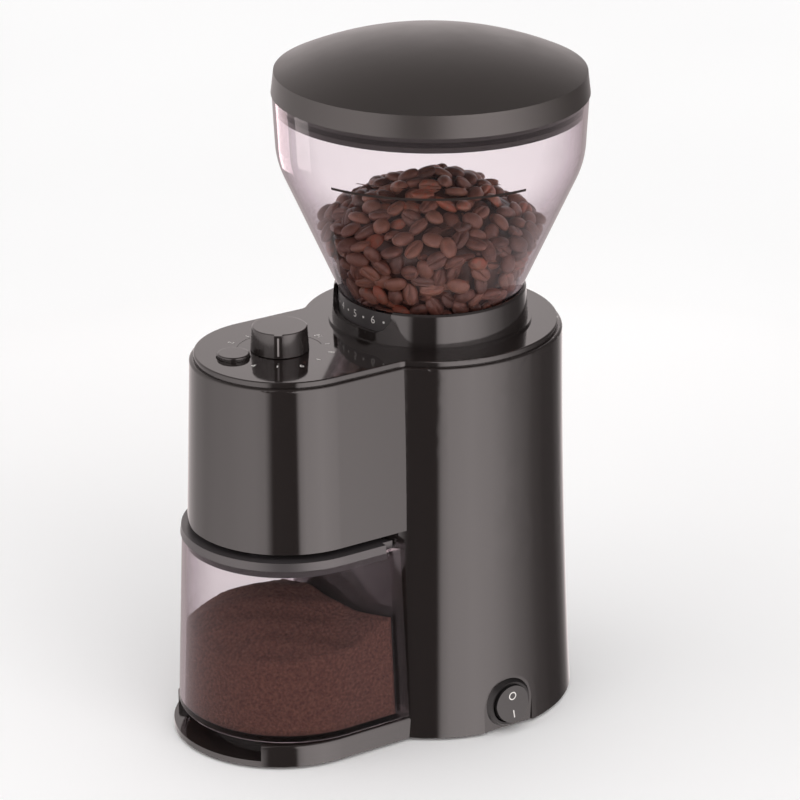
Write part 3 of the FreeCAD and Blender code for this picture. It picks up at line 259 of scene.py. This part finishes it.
# painted board: matt, with the faint cloudiness of a roller
def setFloor(make):
    material, tree, shader, place = startMaterial("paintedBoard", make["floor"], 0.75, {"IOR": 1.45})
    cloud = noiseOf(tree, place, make["cloud"], detail=2.0)
    toneFrom(tree, shader, cloud, [(0.3, make["floorCloud"]), (0.7, make["floor"])])
    half = make["floorHalf"]
    corners = [(-half, -half, 0), (half, -half, 0), (half, half, 0), (-half, half, 0)]
    floor = meshObject("floor", corners, [(0, 1, 2, 3)], material)
    floor.visible_glossy = False  # gloss walls mirror the soft boxes below it too


def setSoftBoxes(make):
    # soft boxes and flags as one lit globe round the machine, which only mirrors see
    glow, tree = startGlow("softBoxes")
    place = addNode(tree, "ShaderNodeTexCoord").outputs["Object"]
    axes = addNode(tree, "ShaderNodeSeparateXYZ", links={0: place})
    around = mathOf(tree, "ARCTAN2", axes.outputs["Y"], axes.outputs["X"])
    share = addNode(tree, "ShaderNodeMapRange", {"From Min": -math.pi, "From Max": math.pi}, {"Value": around})
    strips = addNode(tree, "ShaderNodeValToRGB", links={"Fac": share.outputs[0]},
                     stops=[((turn + 180) / 360, level / make["boxStrength"]) for turn, level in make["boxes"]])
    fadeLow, fadeHigh = (part * make["boxRadius"] for part in make["overheadFade"])
    up = addNode(tree, "ShaderNodeMapRange", {"From Min": fadeLow, "From Max": fadeHigh}, {"Value": axes.outputs["Z"]})
    overhead = make["overhead"] / make["boxStrength"]
    whole = addNode(tree, "ShaderNodeMix", {"data_type": "RGBA", 7: (overhead, overhead, overhead, 1)},
                    {0: up.outputs[0], 6: strips.outputs[0]})
    tint = {"data_type": "RGBA", "blend_type": "MULTIPLY", 0: 1.0, 7: linear(make["boxTint"])}
    warm = addNode(tree, "ShaderNodeMix", tint, {6: whole.outputs[2]})
    showSurface(tree, addNode(tree, "ShaderNodeEmission", {"Strength": make["boxStrength"]}, {"Color": warm.outputs[2]}))

    rings, turns = make["boxRings"], make["boxTurns"]
    points = []
    for i in range(rings + 1):
        fall = math.pi * i / rings
        for j in range(turns):
            turn = 2 * math.pi * j / turns
            ray = Vector((math.sin(fall) * math.cos(turn), math.sin(fall) * math.sin(turn), math.cos(fall)))
            points.append(ray * make["boxRadius"])
    faces = tubeFaces(rings, turns)
    globe = meshObject("softBoxes", points, faces, glow)
    globe.location = (axisX, 0, make["aim"][2])
    globe.rotation_euler = (0, 0, make["camSide"])
    onlyMirrored(globe)
    flagged = bpy.data.collections.new("flaggedOff")  # clear walls are kept out of the soft boxes, so their filling shows
    globe.light_linking.receiver_collection = flagged
    for name in make["clear"]:
        keepOut(flagged, frame["nodes"][name])

    # what the clear walls mirror instead: an even pale room, and one strip for the upright glint on the hopper
    litShape("paleRoom", [p * make["roomShare"] + globe.location for p in points], faces, make["room"], make["clear"])
    side, wide, strength = make["strip"]
    corners = []
    for height in make["stripHeights"]:
        for edge in (-0.5, 0.5):
            turn = make["camSide"] + math.radians(side + edge * wide)
            corners.append((axisX + make["stripReach"] * math.cos(turn), make["stripReach"] * math.sin(turn), height))
    litShape("stripLight", corners, [(0, 1, 3, 2)], strength, ("hopper",))


setWorld(studio)
setLamps(studio)
setFloor(studio)
setSoftBoxes(studio)
print("camera and studio set")

# ABS moulded in a mirror-polished tool: deep black, sharp reflections that waver a little over the wall
glossCase = {"colour": "#221d1c", "roughness": 0.07, "spread": (-0.02, 0.03), "ior": 1.53, "haze": 5 * mm,
             "wave": 24 * mm, "waveHeight": 0.02 * mm, "waveStrength": 0.5}


def makeGlossAbs(make):
    material, tree, shader, place = startMaterial("polishedAbs", make["colour"], make["roughness"], {"IOR": make["ior"]})
    wave = noiseOf(tree, place, make["wave"], detail=1.0)
    bumpFrom(tree, shader, wave, make["waveStrength"], make["waveHeight"])
    roughFrom(tree, shader, noiseOf(tree, place, make["haze"], detail=4.0), make)
    return material


# ABS and polyamide moulded in a spark-eroded tool: satin, the grain breaks the reflections into a soft sheen
satin = {"ior": 1.53, "spread": (-0.04, 0.05), "patch": 14 * mm, "grainStrength": 0.6}
satinLid = dict(satin, colour="#2f2a28", roughness=0.36, grain=0.8 * mm, grainHeight=0.02 * mm)
satinKnob = dict(satin, colour="#2a2524", roughness=0.14, grain=0.7 * mm, grainHeight=0.006 * mm)
satinRim = dict(satin, colour="#3b3738", roughness=0.36, grain=0.7 * mm, grainHeight=0.012 * mm)
satinInside = dict(satin, colour="#242122", roughness=0.5, grain=0.9 * mm, grainHeight=0.03 * mm)
satinSwitch = dict(satin, colour="#1c1a1a", roughness=0.3, ior=1.52, grain=0.5 * mm, grainHeight=0.006 * mm)
satinBezel = dict(satin, colour="#171515", roughness=0.34, ior=1.36, grain=0.5 * mm, grainHeight=0.006 * mm)


def makeSatin(name, make):
    material, tree, shader, place = startMaterial(name, make["colour"], make["roughness"], {"IOR": make["ior"]})
    grain = noiseOf(tree, place, make["grain"], detail=2.0)
    bumpFrom(tree, shader, grain, make["grainStrength"], make["grainHeight"])
    roughFrom(tree, shader, noiseOf(tree, place, make["patch"], detail=3.0), make)
    return material


# clear SAN, injection moulded: water-clear with a faint rose cast, flow lines bend what is behind a little
clearWall = {
    # edge: the tint towards a wall seen edge on, partly the longer way through the plastic, partly painted shade
    "colour": "#faf4f6", "edge": [(0.0, "#faf4f6"), (0.35, "#f6eff2"), (0.65, "#cfc4ca"), (0.9, "#9d9299")],
    "mirror": "#7a7a7a", "passed": "#f3e8eb", "roughness": 0.02, "ior": 1.57,
    "flow": 18 * mm, "flowHeight": 0.015 * mm, "flowStrength": 0.3,
}


def makeClearSan(make):
    glass = {"IOR": make["ior"], "Transmission Weight": 1.0, "Specular Tint": linear(make["mirror"])}
    material, tree, shader, place = startMaterial("clearSan", make["colour"], make["roughness"], glass)
    flow = noiseOf(tree, place, make["flow"], detail=1.0)
    bumpFrom(tree, shader, flow, make["flowStrength"], make["flowHeight"])
    # a wall seen edge on is darker: partly the longer way through the plastic, partly painted shade for the dark
    # surroundings seen in the wall
    slant = addNode(tree, "ShaderNodeLayerWeight", {"Blend": 0.5})
    toneFrom(tree, shader, slant.outputs["Facing"], make["edge"])
    # lamp light passes, and light caught in a wall comes out
    clear = addNode(tree, "ShaderNodeBsdfTransparent", {"Color": linear(make["passed"])})
    rays = addNode(tree, "ShaderNodeLightPath")
    inside = addNode(tree, "ShaderNodeNewGeometry").outputs["Backfacing"]
    mirrored = mathOf(tree, "SUBTRACT", rays.outputs["Is Glossy Ray"], rays.outputs["Is Transmission Ray"])
    trapped = mathOf(tree, "MULTIPLY", mirrored, inside)
    free = mathOf(tree, "MAXIMUM", rays.outputs["Is Shadow Ray"], trapped)
    showSurface(tree, addNode(tree, "ShaderNodeMixShader", links={0: free, 1: shader.outputs[0], 2: clear.outputs[0]}))
    return material


# metals: the tool marks run round the turned parts and show as fine streaks in the shine
metal = {"spread": (-0.1, 0.12), "stretch": (1, 1, 8), "streakStrength": 0.25, "streakHeight": 0.01 * mm}
metals = {
    "zincSteel": {"slot": "steel", "colour": "#b4b8bb", "roughness": 0.3, "streak": 2.4 * mm},
    "groundSteel": {"slot": "burr_steel", "colour": "#8b8d90", "roughness": 0.34, "streak": 1.6 * mm},
    "drawnSteel": {"slot": "motor_steel", "colour": "#a3a5a6", "roughness": 0.38, "streak": 4.8 * mm},
    "turnedBrass": {"slot": "brass", "colour": "#b8934c", "roughness": 0.3, "streak": 2 * mm},
}


def makeMetal(name, make):
    material, tree, shader, place = startMaterial(name, make["colour"], make["roughness"], {"Metallic": 1.0})
    long = addNode(tree, "ShaderNodeMapping", {"Scale": make["stretch"]}, {"Vector": place})
    streak = noiseOf(tree, long.outputs[0], make["streak"], detail=4.0)
    roughFrom(tree, shader, streak, make)
    bumpFrom(tree, shader, streak, make["streakStrength"], make["streakHeight"])
    return material


# the rest of the inside: nylon gears, rubber, ferrite and circuit board, each with its own grain
plain = {"darkAt": 0.35, "lightAt": 0.65, "grainStrength": 0.4, "grainHeight": 0.02 * mm}
plains = {
    "mouldedNylon": {"slot": "gear_nylon", "dark": "#d5cfc0", "light": "#e6e1d4",
                     "roughness": 0.42, "ior": 1.53, "grain": 3 * mm},
    "mouldedRubber": {"slot": "rubber", "dark": "#161515", "light": "#232121",
                      "roughness": 0.78, "ior": 1.52, "grain": 1.2 * mm},
    "sinteredFerrite": {"slot": "ferrite", "dark": "#262628", "light": "#39393b",
                        "roughness": 0.6, "ior": 1.6, "grain": 0.8 * mm},
    "boardLaminate": {"slot": "board_laminate", "dark": "#23482f", "light": "#35603f",
                      "roughness": 0.35, "ior": 1.55, "grain": 2.5 * mm},
}


def makePlain(name, make):
    material, tree, shader, place = startMaterial(name, make["light"], make["roughness"], {"IOR": make["ior"]})
    grain = noiseOf(tree, place, make["grain"], detail=4.0)
    toneFrom(tree, shader, grain, [(make["darkAt"], make["dark"]), (make["lightAt"], make["light"])])
    bumpFrom(tree, shader, grain, make["grainStrength"], make["grainHeight"])
    return material


finishes = {
    "gloss_black_plastic": makeGlossAbs(glossCase),
    "satin_grey_plastic": makeSatin("grainedAbs", satinLid),
    "clear_plastic": makeClearSan(clearWall),
    "black_plastic": makeSatin("grainedNylonBlack", satinInside),
    "knob_plastic": makeSatin("grainedAbsKnob", satinKnob),
    "switch_plastic": makeSatin("polyamideSwitch", satinSwitch),
}
finishes.update({make["slot"]: makeMetal(name, {**metal, **make}) for name, make in metals.items()})
finishes.update({make["slot"]: makePlain(name, {**plain, **make}) for name, make in plains.items()})
ownFinish = {
    "container_lid": makeSatin("grainedAbsRim", satinRim),
    "switch_body": makeSatin("polyamideBezel", satinBezel),
}
for part in frame["record"]["subparts"]:
    node = frame["nodes"][part["node"]]
    node.data.materials.clear()
    node.data.materials.append(ownFinish.get(part["node"], finishes[part["material_slot"]]))

# the beans, heaped in the hopper's cone, in mm
beanHeap = {
    "peak": 250.0, "fall": 0.2, "curve": 0.0055, "lowest": 187.0, "coneLow": 193.9, "coneRadius": 38.2,
    "coneSlope": 0.4525, "neckRadius": 36.2, "seed": 23,
    # packing: random tries in a box, thinned to the share that beans fill, then pushed apart
    "spacing": 7.3, "tries": 9000, "boxHalf": 60, "filled": 0.62, "wallMargin": 3, "topMargin": 2,
    "steps": 140, "push": 0.3, "inset": 3.4, "topInset": 0.6,
    # laying: how deep the shell of shown beans goes, and how they lie in it
    "shell": 11.0, "wallGap": 0.35, "showCrease": 0.5, "tilt": 0.3, "topLean": 0.012, "kinds": 7, "settles": 3,
}
# one bean: domed on one side, flatter with a bent crease on the other
beanForm = {
    "size": (10.4, 7.6, 5.4), "vary": ((0.9, 1.08), (0.9, 1.08), (0.92, 1.1)), "bend": 0.5, "lean": 0.12, "rings": 9,
    "around": (0, 30, 60, 90, 120, 150, 180, 207, 234, 254, 263, 270, 277, 286, 306, 333),
    "groove": {254: -0.1, 263: 0.3, 270: 0.95, 277: 0.3, 286: -0.1}, "grooveFade": 0.4, "grooveWide": 0.3,
    "swell": 0.86, "flatSide": 0.62, "domeSide": 1.05, "bendWave": 2.4, "tip": -0.3,
}
# the beans nobody sees, as one lumpy body under the shell
coreForm = {"rise": 4, "shoulder": 222, "fromWall": 6.5, "fromTop": 6.0, "wallRows": 9, "topRows": 14, "hub": 0.01,
            "turns": 64, "lump": 0.35}
roast = {"tones": [(0.0, "#5f4035"), (0.45, "#825849"), (0.88, "#986a56"), (1.0, "#a86047")], "roughness": 0.38, "ior": 1.47,
         "patch": 2.5 * mm, "patchSpan": (0.3, 0.7), "patchShift": 0.16,
         "wrinkle": 0.9 * mm, "wrinkleHeight": 0.12 * mm, "wrinkleStrength": 0.5}
# painted shade: the hidden beans get darker tones because they lie in the shade between the shown beans
shadedRoast = dict(roast, tones=[(0.0, "#3a241c"), (1.0, "#4e3328")])  # the beans in the gaps, out of the light


# roasted coffee: dark oily skin with shallow wrinkles, each bean its own brown
def makeRoast(name, make):
    material, tree, shader, place = startMaterial(name, make["tones"][1][1], make["roughness"], {"IOR": make["ior"]})
    own = addNode(tree, "ShaderNodeNewGeometry").outputs["Random Per Island"]
    span = {"From Min": make["patchSpan"][0], "From Max": make["patchSpan"][1],
            "To Min": -make["patchShift"], "To Max": make["patchShift"]}
    patch = addNode(tree, "ShaderNodeMapRange", span, {"Value": noiseOf(tree, place, make["patch"], detail=3.0)})
    toneFrom(tree, shader, mathOf(tree, "ADD", own, patch.outputs[0]), make["tones"])
    wrinkle = noiseOf(tree, place, make["wrinkle"], detail=3.0)
    bumpFrom(tree, shader, wrinkle, make["wrinkleStrength"], make["wrinkleHeight"])
    return material


def coneRadius(z, make):
    cone = make["coneRadius"] + make["coneSlope"] * (z - make["coneLow"])
    return np.where(z < make["coneLow"], make["neckRadius"], cone)


def heapHeight(r, make):
    return make["peak"] - make["fall"] * r - make["curve"] * r * r


def holdInHeap(spots, make):
    inset = make["inset"]
    reach = np.hypot(spots[:, 0], spots[:, 1])
    spots[:, 2] = np.clip(spots[:, 2], make["lowest"] + inset, heapHeight(reach, make) - inset * make["topInset"])
    most = coneRadius(spots[:, 2], make) - inset
    squeeze = np.minimum(1, most / np.maximum(reach, 0.001))
    spots[:, 0] *= squeeze
    spots[:, 1] *= squeeze


def packBeans(make):
    rng = np.random.default_rng(make["seed"])
    half, tries = make["boxHalf"], make["tries"]
    spots = np.column_stack([rng.uniform(-half, half, tries), rng.uniform(-half, half, tries),
                             rng.uniform(make["lowest"], make["peak"], tries)])
    reach = np.hypot(spots[:, 0], spots[:, 1])
    inWall = reach < coneRadius(spots[:, 2], make) - make["wallMargin"]
    inside = inWall & (spots[:, 2] < heapHeight(reach, make) - make["topMargin"])
    room = inside.mean() * (2 * half) * (2 * half) * (make["peak"] - make["lowest"])
    count = int(make["filled"] * room / (math.pi / 6 * make["spacing"] ** 3))
    spots = spots[inside][:count]
    for step in range(make["steps"]):  # push neighbours apart until they only touch
        gap = spots[:, None, :] - spots[None, :, :]
        apart = np.sqrt((gap ** 2).sum(2)) + np.eye(len(spots)) * 99  # a bean is far from itself
        push = np.maximum(0, make["spacing"] - apart) / apart * make["push"]
        spots = spots + (gap * push[:, :, None]).sum(1)
        holdInHeap(spots, make)
    return spots, rng


def beanShape(form, rng):
    half = [size / 2 * rng.uniform(*span) for size, span in zip(form["size"], form["vary"])]
    bend, lean = rng.uniform(-form["bend"], form["bend"]), rng.uniform(-form["lean"], form["lean"])
    rings = form["rings"]
    points = [(-half[0], 0, form["tip"])]
    for i in range(1, rings):
        x = -math.cos(math.pi * i / rings)
        swell = math.sqrt(max(0, 1 - x * x)) ** form["swell"]
        for degrees in form["around"]:
            turn = math.radians(degrees)
            y, z = swell * math.cos(turn), swell * math.sin(turn)
            deep, slide = z * half[2] * form["domeSide"], 0
            if z < 0:
                dent = form["groove"].get(degrees, 0) * (1 - x * x) ** form["grooveFade"]
                deep = z * half[2] * form["flatSide"] + dent
                if abs(math.cos(turn)) < form["grooveWide"]:
                    slide = bend * math.sin(form["bendWave"] * x)
            points.append((x * half[0], y * half[1] * (1 + lean * x) + slide, deep))
    points.append((half[0], 0, form["tip"]))
    n, last = len(form["around"]), len(points) - 1
    faces = [(0, 1 + (j + 1) % n, 1 + j) for j in range(n)]
    faces += [tuple(1 + k for k in side) for side in tubeFaces(rings - 2, n)]
    faces += [(last, last - n + j, last - n + (j + 1) % n) for j in range(n)]
    return np.array(points), faces


def makeBeans(make, form, material):
    spots, rng = packBeans(make)
    shapes = [beanShape(form, rng) for kind in range(make["kinds"])]
    points, faces, shown = [], [], 0
    for spot in spots:
        reach = math.hypot(spot[0], spot[1])
        under = heapHeight(reach, make) - spot[2]
        fromWall = float(coneRadius(spot[2], make)) - reach
        spin, pitch = rng.uniform(0, 2 * math.pi), rng.normal(0, make["tilt"])
        roll, flip = rng.normal(0, make["tilt"]), rng.random()
        if min(under, fromWall) > make["shell"]:
            continue
        if fromWall < under:
            out = Vector((spot[0] / reach, spot[1] / reach, -make["coneSlope"])).normalized()
        else:
            out = Vector((spot[0] * make["topLean"], spot[1] * make["topLean"], 1)).normalized()
        along = out.orthogonal().normalized()
        side = out.cross(along)
        a = along * math.cos(spin) + side * math.sin(spin)
        face = (out + a * pitch + out.cross(a) * roll).normalized()
        if flip < make["showCrease"]:
            face = -face
        a = (a - face * a.dot(face)).normalized()
        b = face.cross(a)
        shape, sides = shapes[int(rng.integers(len(shapes)))]
        body = shape @ np.array([a, b, face]) + spot
        for settle in range(make["settles"]):  # draw back what pokes into the clear wall
            poke = np.hypot(body[:, 0], body[:, 1]) - (coneRadius(body[:, 2], make) - make["wallGap"])
            if poke.max() > 0:
                body[:, :2] -= np.array(spot[:2]) / max(reach, 0.001) * poke.max()
        base = len(points)
        points.extend(body)
        faces.extend([tuple(base + k for k in f) for f in sides])
        shown += 1
    whole = np.array(points) * mm + np.array([axisX, 0, 0])
    print("beans shown:", shown, "of", len(spots))
    meshPiece("beans", whole, faces, material, "hopper")


def makeBeanCore(make, core, material):
    low = make["lowest"] + core["rise"]
    profile = [(core["hub"], low)]
    for z in np.linspace(low, core["shoulder"], core["wallRows"]):
        profile.append((float(coneRadius(z, make)) - core["fromWall"], float(z)))
    for r in np.linspace(profile[-1][0] - 1, core["hub"], core["topRows"]):
        profile.append((float(r), float(heapHeight(r, make)) - core["fromTop"]))
    turns, points = core["turns"], []
    for r, z in profile:
        for j in range(turns):
            turn = 2 * math.pi * j / turns
            points.append((axisX + r * math.cos(turn) * mm, r * math.sin(turn) * mm, z * mm))
    rng = np.random.default_rng(make["seed"])
    points = np.array(points) + rng.normal(0, core["lump"] * mm, (len(points), 3))
    meshPiece("beanCore", points, tubeFaces(len(profile) - 1, turns), material, "hopper")


makeBeans(beanHeap, beanForm, makeRoast("roastedBean", roast))
makeBeanCore(beanHeap, coreForm, makeRoast("roastedBeanShaded", shadedRoast))
print("beans heaped")

# the ground coffee in the container, banked up towards the column, in mm
groundHeap = {
    # the container's inside
    "floor": 15.3, "baseHalf": 49.6, "topHalf": 46.8, "baseZ": 11.9, "topZ": 94.5, "wall": 2.2, "gap": 0.35,
    "centre": -76.7, "back": 68.8,
    # the heap's top: a ridge with a slope on either side, a drop at the round end, and low waves
    "high": 70.2, "ridge": ((-125, 12), (-90, 9), (-72, 2), (-62, -10), (-50, -30)), "ridgeSoft": 4,
    "farSlope": 0.66, "nearSlope": 0.3, "fallEnd": 0.0098, "fallStart": -85.0, "fallSide": 0.0012,
    "wave": {"tall": 0.7, "alongX": 0.21, "shift": 1.0, "alongY": 0.17},
    "ripple": {"tall": 0.4, "alongX": 0.3, "alongY": 0.43},
    # the mesh
    "sideSteps": 14, "endSteps": 60, "backSteps": 40, "levels": 12, "rings": 26, "settles": 3, "hub": (-96.0, 0.0),
    "lump": 0.3, "seed": 5,
}
grind = {"colour": "#5a3a31", "tones": [(0.3, "#45291f"), (0.5, "#623d31"), (0.7, "#785040")], "roughness": 0.9, "ior": 1.45,
         "grain": 1.3 * mm, "grainMix": 0.65, "grainHeight": 0.4 * mm, "grainStrength": 0.7}


# ground coffee: matt brown grit, light flakes among dark ones
def makeGrind(make):
    material, tree, shader, place = startMaterial("groundCoffee", make["colour"], make["roughness"], {"IOR": make["ior"]})
    grit = noiseOf(tree, place, make["grain"], detail=5.0, settings={"Roughness": make["grainMix"]})
    toneFrom(tree, shader, grit, make["tones"])
    bumpFrom(tree, shader, grit, make["grainStrength"], make["grainHeight"])
    return material


def groundLevel(x, y, make):
    drop = max(0.0, make["fallStart"] - x)
    past, soft = y - np.interp(x, *zip(*make["ridge"])), make["ridgeSoft"]
    far = make["farSlope"] * soft * math.log1p(math.exp(past / soft))  # both slopes start softly at the ridge
    near = make["nearSlope"] * soft * math.log1p(math.exp(-past / soft))
    wave, ripple = make["wave"], make["ripple"]
    lift = wave["tall"] * math.sin(x * wave["alongX"] + wave["shift"]) * math.cos(y * wave["alongY"])
    lift += ripple["tall"] * math.sin(y * ripple["alongY"] + x * ripple["alongX"])
    return make["high"] - make["fallEnd"] * drop * drop - make["fallSide"] * y * y - far - near + lift


def containerLine(z, make):
    share = (z - make["baseZ"]) / (make["topZ"] - make["baseZ"])
    half = make["baseHalf"] + (make["topHalf"] - make["baseHalf"]) * share - make["wall"] - make["gap"]
    back, centre, steps = make["back"] + make["gap"], make["centre"], make["sideSteps"]
    corner = -math.sqrt(back * back - half * half)
    lean = math.asin(half / back)
    roundEnd = np.linspace(math.pi / 2, 1.5 * math.pi, make["endSteps"])
    hollowBack = np.linspace(-lean, lean, make["backSteps"])[1:-1]
    line = [(x, half) for x in np.linspace(corner, centre, steps, endpoint=False)]
    line += [(centre + half * math.cos(t), half * math.sin(t)) for t in roundEnd]
    line += [(x, -half) for x in np.linspace(centre, corner, steps + 1)[1:]]
    line += [(-back * math.cos(t), back * math.sin(t)) for t in hollowBack]
    return line


def makeGrounds(make, material):
    rng = np.random.default_rng(make["seed"])
    floor, levels, rings, (hubX, hubY) = make["floor"], make["levels"], make["rings"], make["hub"]
    base = containerLine(floor, make)
    top = []
    for index, (x, y) in enumerate(base):
        level = groundLevel(x, y, make)
        for settle in range(make["settles"]):  # the walls lean, so the level and the line are found in turns
            px, py = containerLine(level, make)[index]
            level = groundLevel(px, py, make)
        top.append((px, py, level))
    n = len(base)
    points = [(x, y, floor) for x, y in base]
    for k in range(1, levels + 1):
        part = k / levels
        points += [(x0 + (x1 - x0) * part, y0 + (y1 - y0) * part, floor + (z1 - floor) * part)
                   for (x0, y0), (x1, y1, z1) in zip(base, top)]
    for k in range(1, rings + 1):
        part = 1 - k / (rings + 0.5)
        for x1, y1, z1 in top:
            x, y = hubX + (x1 - hubX) * part, hubY + (y1 - hubY) * part
            points.append((x, y, groundLevel(x, y, make) + rng.normal(0, make["lump"]) * part))
    rows = levels + rings
    faces = tubeFaces(rows, n)
    faces.append(tuple(rows * n + j for j in range(n)))
    faces.append(tuple(reversed(range(n))))
    whole = np.array(points) * mm + np.array([axisX, 0, 0])
    meshPiece("groundCoffee", whole, faces, material, "container")


makeGrounds(groundHeap, makeGrind(grind))
print("ground coffee filled in")

# pad-printed marks: thin opaque ink, a little matter than the plastic under it
ink = {"colours": {"white": "#e4e0dc", "dull": "#c4bfbc", "pale": "#9a9291", "grey": "#4a4544", "brown": "#382d2a"},
       "roughness": 0.45, "spread": (-0.08, 0.08), "ior": 1.5, "speck": 0.3 * mm, "proud": 0.05 * mm, "away": 30 * mm}


def makeInk(name, colour, make):
    material, tree, shader, place = startMaterial(name, colour, make["roughness"], {"IOR": make["ior"]})
    roughFrom(tree, shader, noiseOf(tree, place, make["speck"], detail=2.0), make)
    return material


inks = {name: makeInk(name + "Ink", colour, ink) for name, colour in ink["colours"].items()}


def numberShape(text, size):
    curve = bpy.data.curves.new("number", "FONT")
    curve.body, curve.size = text, size
    curve.align_x, curve.align_y = "CENTER", "CENTER"
    curve.resolution_u = 4
    holder = bpy.data.objects.new("number", curve)
    scene.collection.objects.link(holder)
    bpy.context.view_layer.update()
    mesh = bpy.data.meshes.new_from_object(holder.evaluated_get(bpy.context.evaluated_depsgraph_get()))
    shape = [(v.co.x, v.co.y) for v in mesh.vertices], [tuple(p.vertices) for p in mesh.polygons]
    bpy.data.objects.remove(holder)
    bpy.data.curves.remove(curve)
    bpy.data.meshes.remove(mesh)
    return shape


def barShape(wide, tall):
    return [(-wide / 2, -tall / 2), (wide / 2, -tall / 2), (wide / 2, tall / 2), (-wide / 2, tall / 2)], [(0, 1, 2, 3)]


def dotShape(radius, corners=16):
    spots = [(radius * math.cos(t), radius * math.sin(t)) for t in np.linspace(0, 2 * math.pi, corners + 1)[:-1]]
    return spots, [tuple(range(corners))]


def bandSides(turns):
    return [(2 * i, 2 * i + 1, 2 * i + 3, 2 * i + 2) for i in range(turns)]


def hoopShape(radius, stroke, start=0.0, end=360.0, turns=40):
    spots = []
    for i in range(turns + 1):
        t = math.radians(start + (end - start) * i / turns)
        spots += [((radius + k * stroke / 2) * math.cos(t), (radius + k * stroke / 2) * math.sin(t)) for k in (-1, 1)]
    return spots, bandSides(turns)


def printOn(nodeName, name, marks, colour, body):
    # each mark: shape, where its middle is, its right and up, and which way the ink meets the surface
    node = frame["nodes"][nodeName]
    points, faces = [], []
    for (spots, sides), middle, right, up, toward in marks:
        base, toward = len(points), Vector(toward)
        for x, y in spots:
            start = Vector(middle) + Vector(right) * x + Vector(up) * y
            hit, where, normal, index = node.ray_cast(start * mm - toward * ink["away"], toward)
            points.append(where - toward * ink["proud"] if hit else start * mm)
        faces += [tuple(base + k for k in side) for side in sides]
    meshPiece(name, points, faces, inks[colour], body, smooth=False)


# the fineness numbers on the grind ring, with a dot after each
ringScale = {"numbers": 9, "middle": 182.0, "step": 16.0, "height": 189.6, "reach": 42, "size": 5.0, "dot": 0.55}


def makeRingNumbers(make):
    marks = []
    for i in range(make["numbers"]):
        for shape, on in ((numberShape(str(i + 1), make["size"]), 0.0), (dotShape(make["dot"]), 0.5)):
            out, right = outAndRight(make["middle"] + (i + on - (make["numbers"] - 1) / 2) * make["step"])
            spot = Vector((axisX / mm, 0, make["height"])) + out * make["reach"]
            marks.append((shape, spot, right, (0, 0, 1), -out))
    printOn("grind_ring", "ringNumbers", marks, "dull", "grind_ring")


# the amount scale on the deck round the dial: numbers, ticks and two thin arcs, by degrees round the dial
dialScale = {
    "centre": (-78.0, 2.0), "height": 185, "numbers": {127: "2", 208: "4", 262: "6", 316: "8", 370: "10"}, "size": 4.0,
    "numberRadius": 23.1, "ticks": (100, 235, 289, 343), "tick": (0.5, 2.2), "tickRadius": 21.5,
    "arcs": ((96, 142), (-14, 20)), "arcRadius": 19.0, "arcStroke": 0.4, "arcTurns": 24,
}


def makeDialScale(make):
    centre = Vector((axisX / mm + make["centre"][0], make["centre"][1], make["height"]))
    shapes = [(turn, numberShape(text, make["size"]), make["numberRadius"]) for turn, text in make["numbers"].items()]
    shapes += [(turn, barShape(*make["tick"]), make["tickRadius"]) for turn in make["ticks"]]
    marks = []
    for turn, shape, reach in shapes:
        out, right = outAndRight(turn)
        marks.append((shape, centre + out * reach, right, -out, (0, 0, -1)))
    printOn("top_cover", "dialNumbers", marks, "white", "housing")
    arcs = [hoopShape(make["arcRadius"], make["arcStroke"], start, end, make["arcTurns"]) for start, end in make["arcs"]]
    lines = [(arc, centre, (1, 0, 0), (0, 1, 0), (0, 0, -1)) for arc in arcs]
    printOn("top_cover", "dialArc", lines, "grey", "housing")


# the off and on signs of the mains rocker
rockerMarks = {"zero": 4.2, "one": -4.2, "ring": 1.7, "stroke": 0.55, "bar": 3.2}


def makeRockerMarks(make):
    low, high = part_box("rocker")
    middle = Vector(((low.x + high.x) / 2 / mm, low.y / mm, (low.z + high.z) / 2 / mm))
    shapes = {"zero": hoopShape(make["ring"], make["stroke"]), "one": barShape(make["stroke"], make["bar"])}
    marks = [(shape, middle + Vector((0, 0, make[name])), (1, 0, 0), (0, 0, 1), (0, 1, 0)) for name, shape in shapes.items()]
    printOn("rocker", "rockerMarks", marks, "white", "rocker")


# the fill line round the front of the hopper: its height and width in mm, its place in degrees
fillMark = {"height": 257.2, "middle": 234.9, "half": 37.8, "tall": 1.2, "turns": 48, "outside": 0.1}


def makeFillMark(make):
    points, turns = [], make["turns"]
    for i in range(turns + 1):
        out, right = outAndRight(make["middle"] - make["half"] + 2 * make["half"] * i / turns)
        for k in (-0.5, 0.5):
            start = Vector((axisX, 0, (make["height"] + k * make["tall"]) * mm)) + out * make["outside"]
            hit, where, normal, index = frame["nodes"]["hopper"].ray_cast(start, -out)
            points.append(where + out * ink["proud"])
    mark = meshPiece("fillMark", points, bandSides(turns), inks["brown"], "hopper", smooth=False)
    keepOut(bpy.data.collections["flaggedOff"], mark)


# the pale line down the dial's side at its pointer: a painted highlight, standing in for the shine on the pointer rib
knobLine = {"turn": 235.0, "wide": 0.8, "tall": 8.4, "height": 185.4, "reach": 14}


def makeKnobHighlight(make, centre):
    out, right = outAndRight(make["turn"])
    middle = Vector((axisX / mm + centre[0], centre[1], make["height"])) + out * make["reach"]
    printOn("dial_knob", "knobLine", [(barShape(make["wide"], make["tall"]), middle, right, (0, 0, 1), -out)], "pale", "dial")


makeRingNumbers(ringScale)
makeDialScale(dialScale)
makeRockerMarks(rockerMarks)
makeFillMark(fillMark)
makeKnobHighlight(knobLine, dialScale["centre"])
print("marks printed")
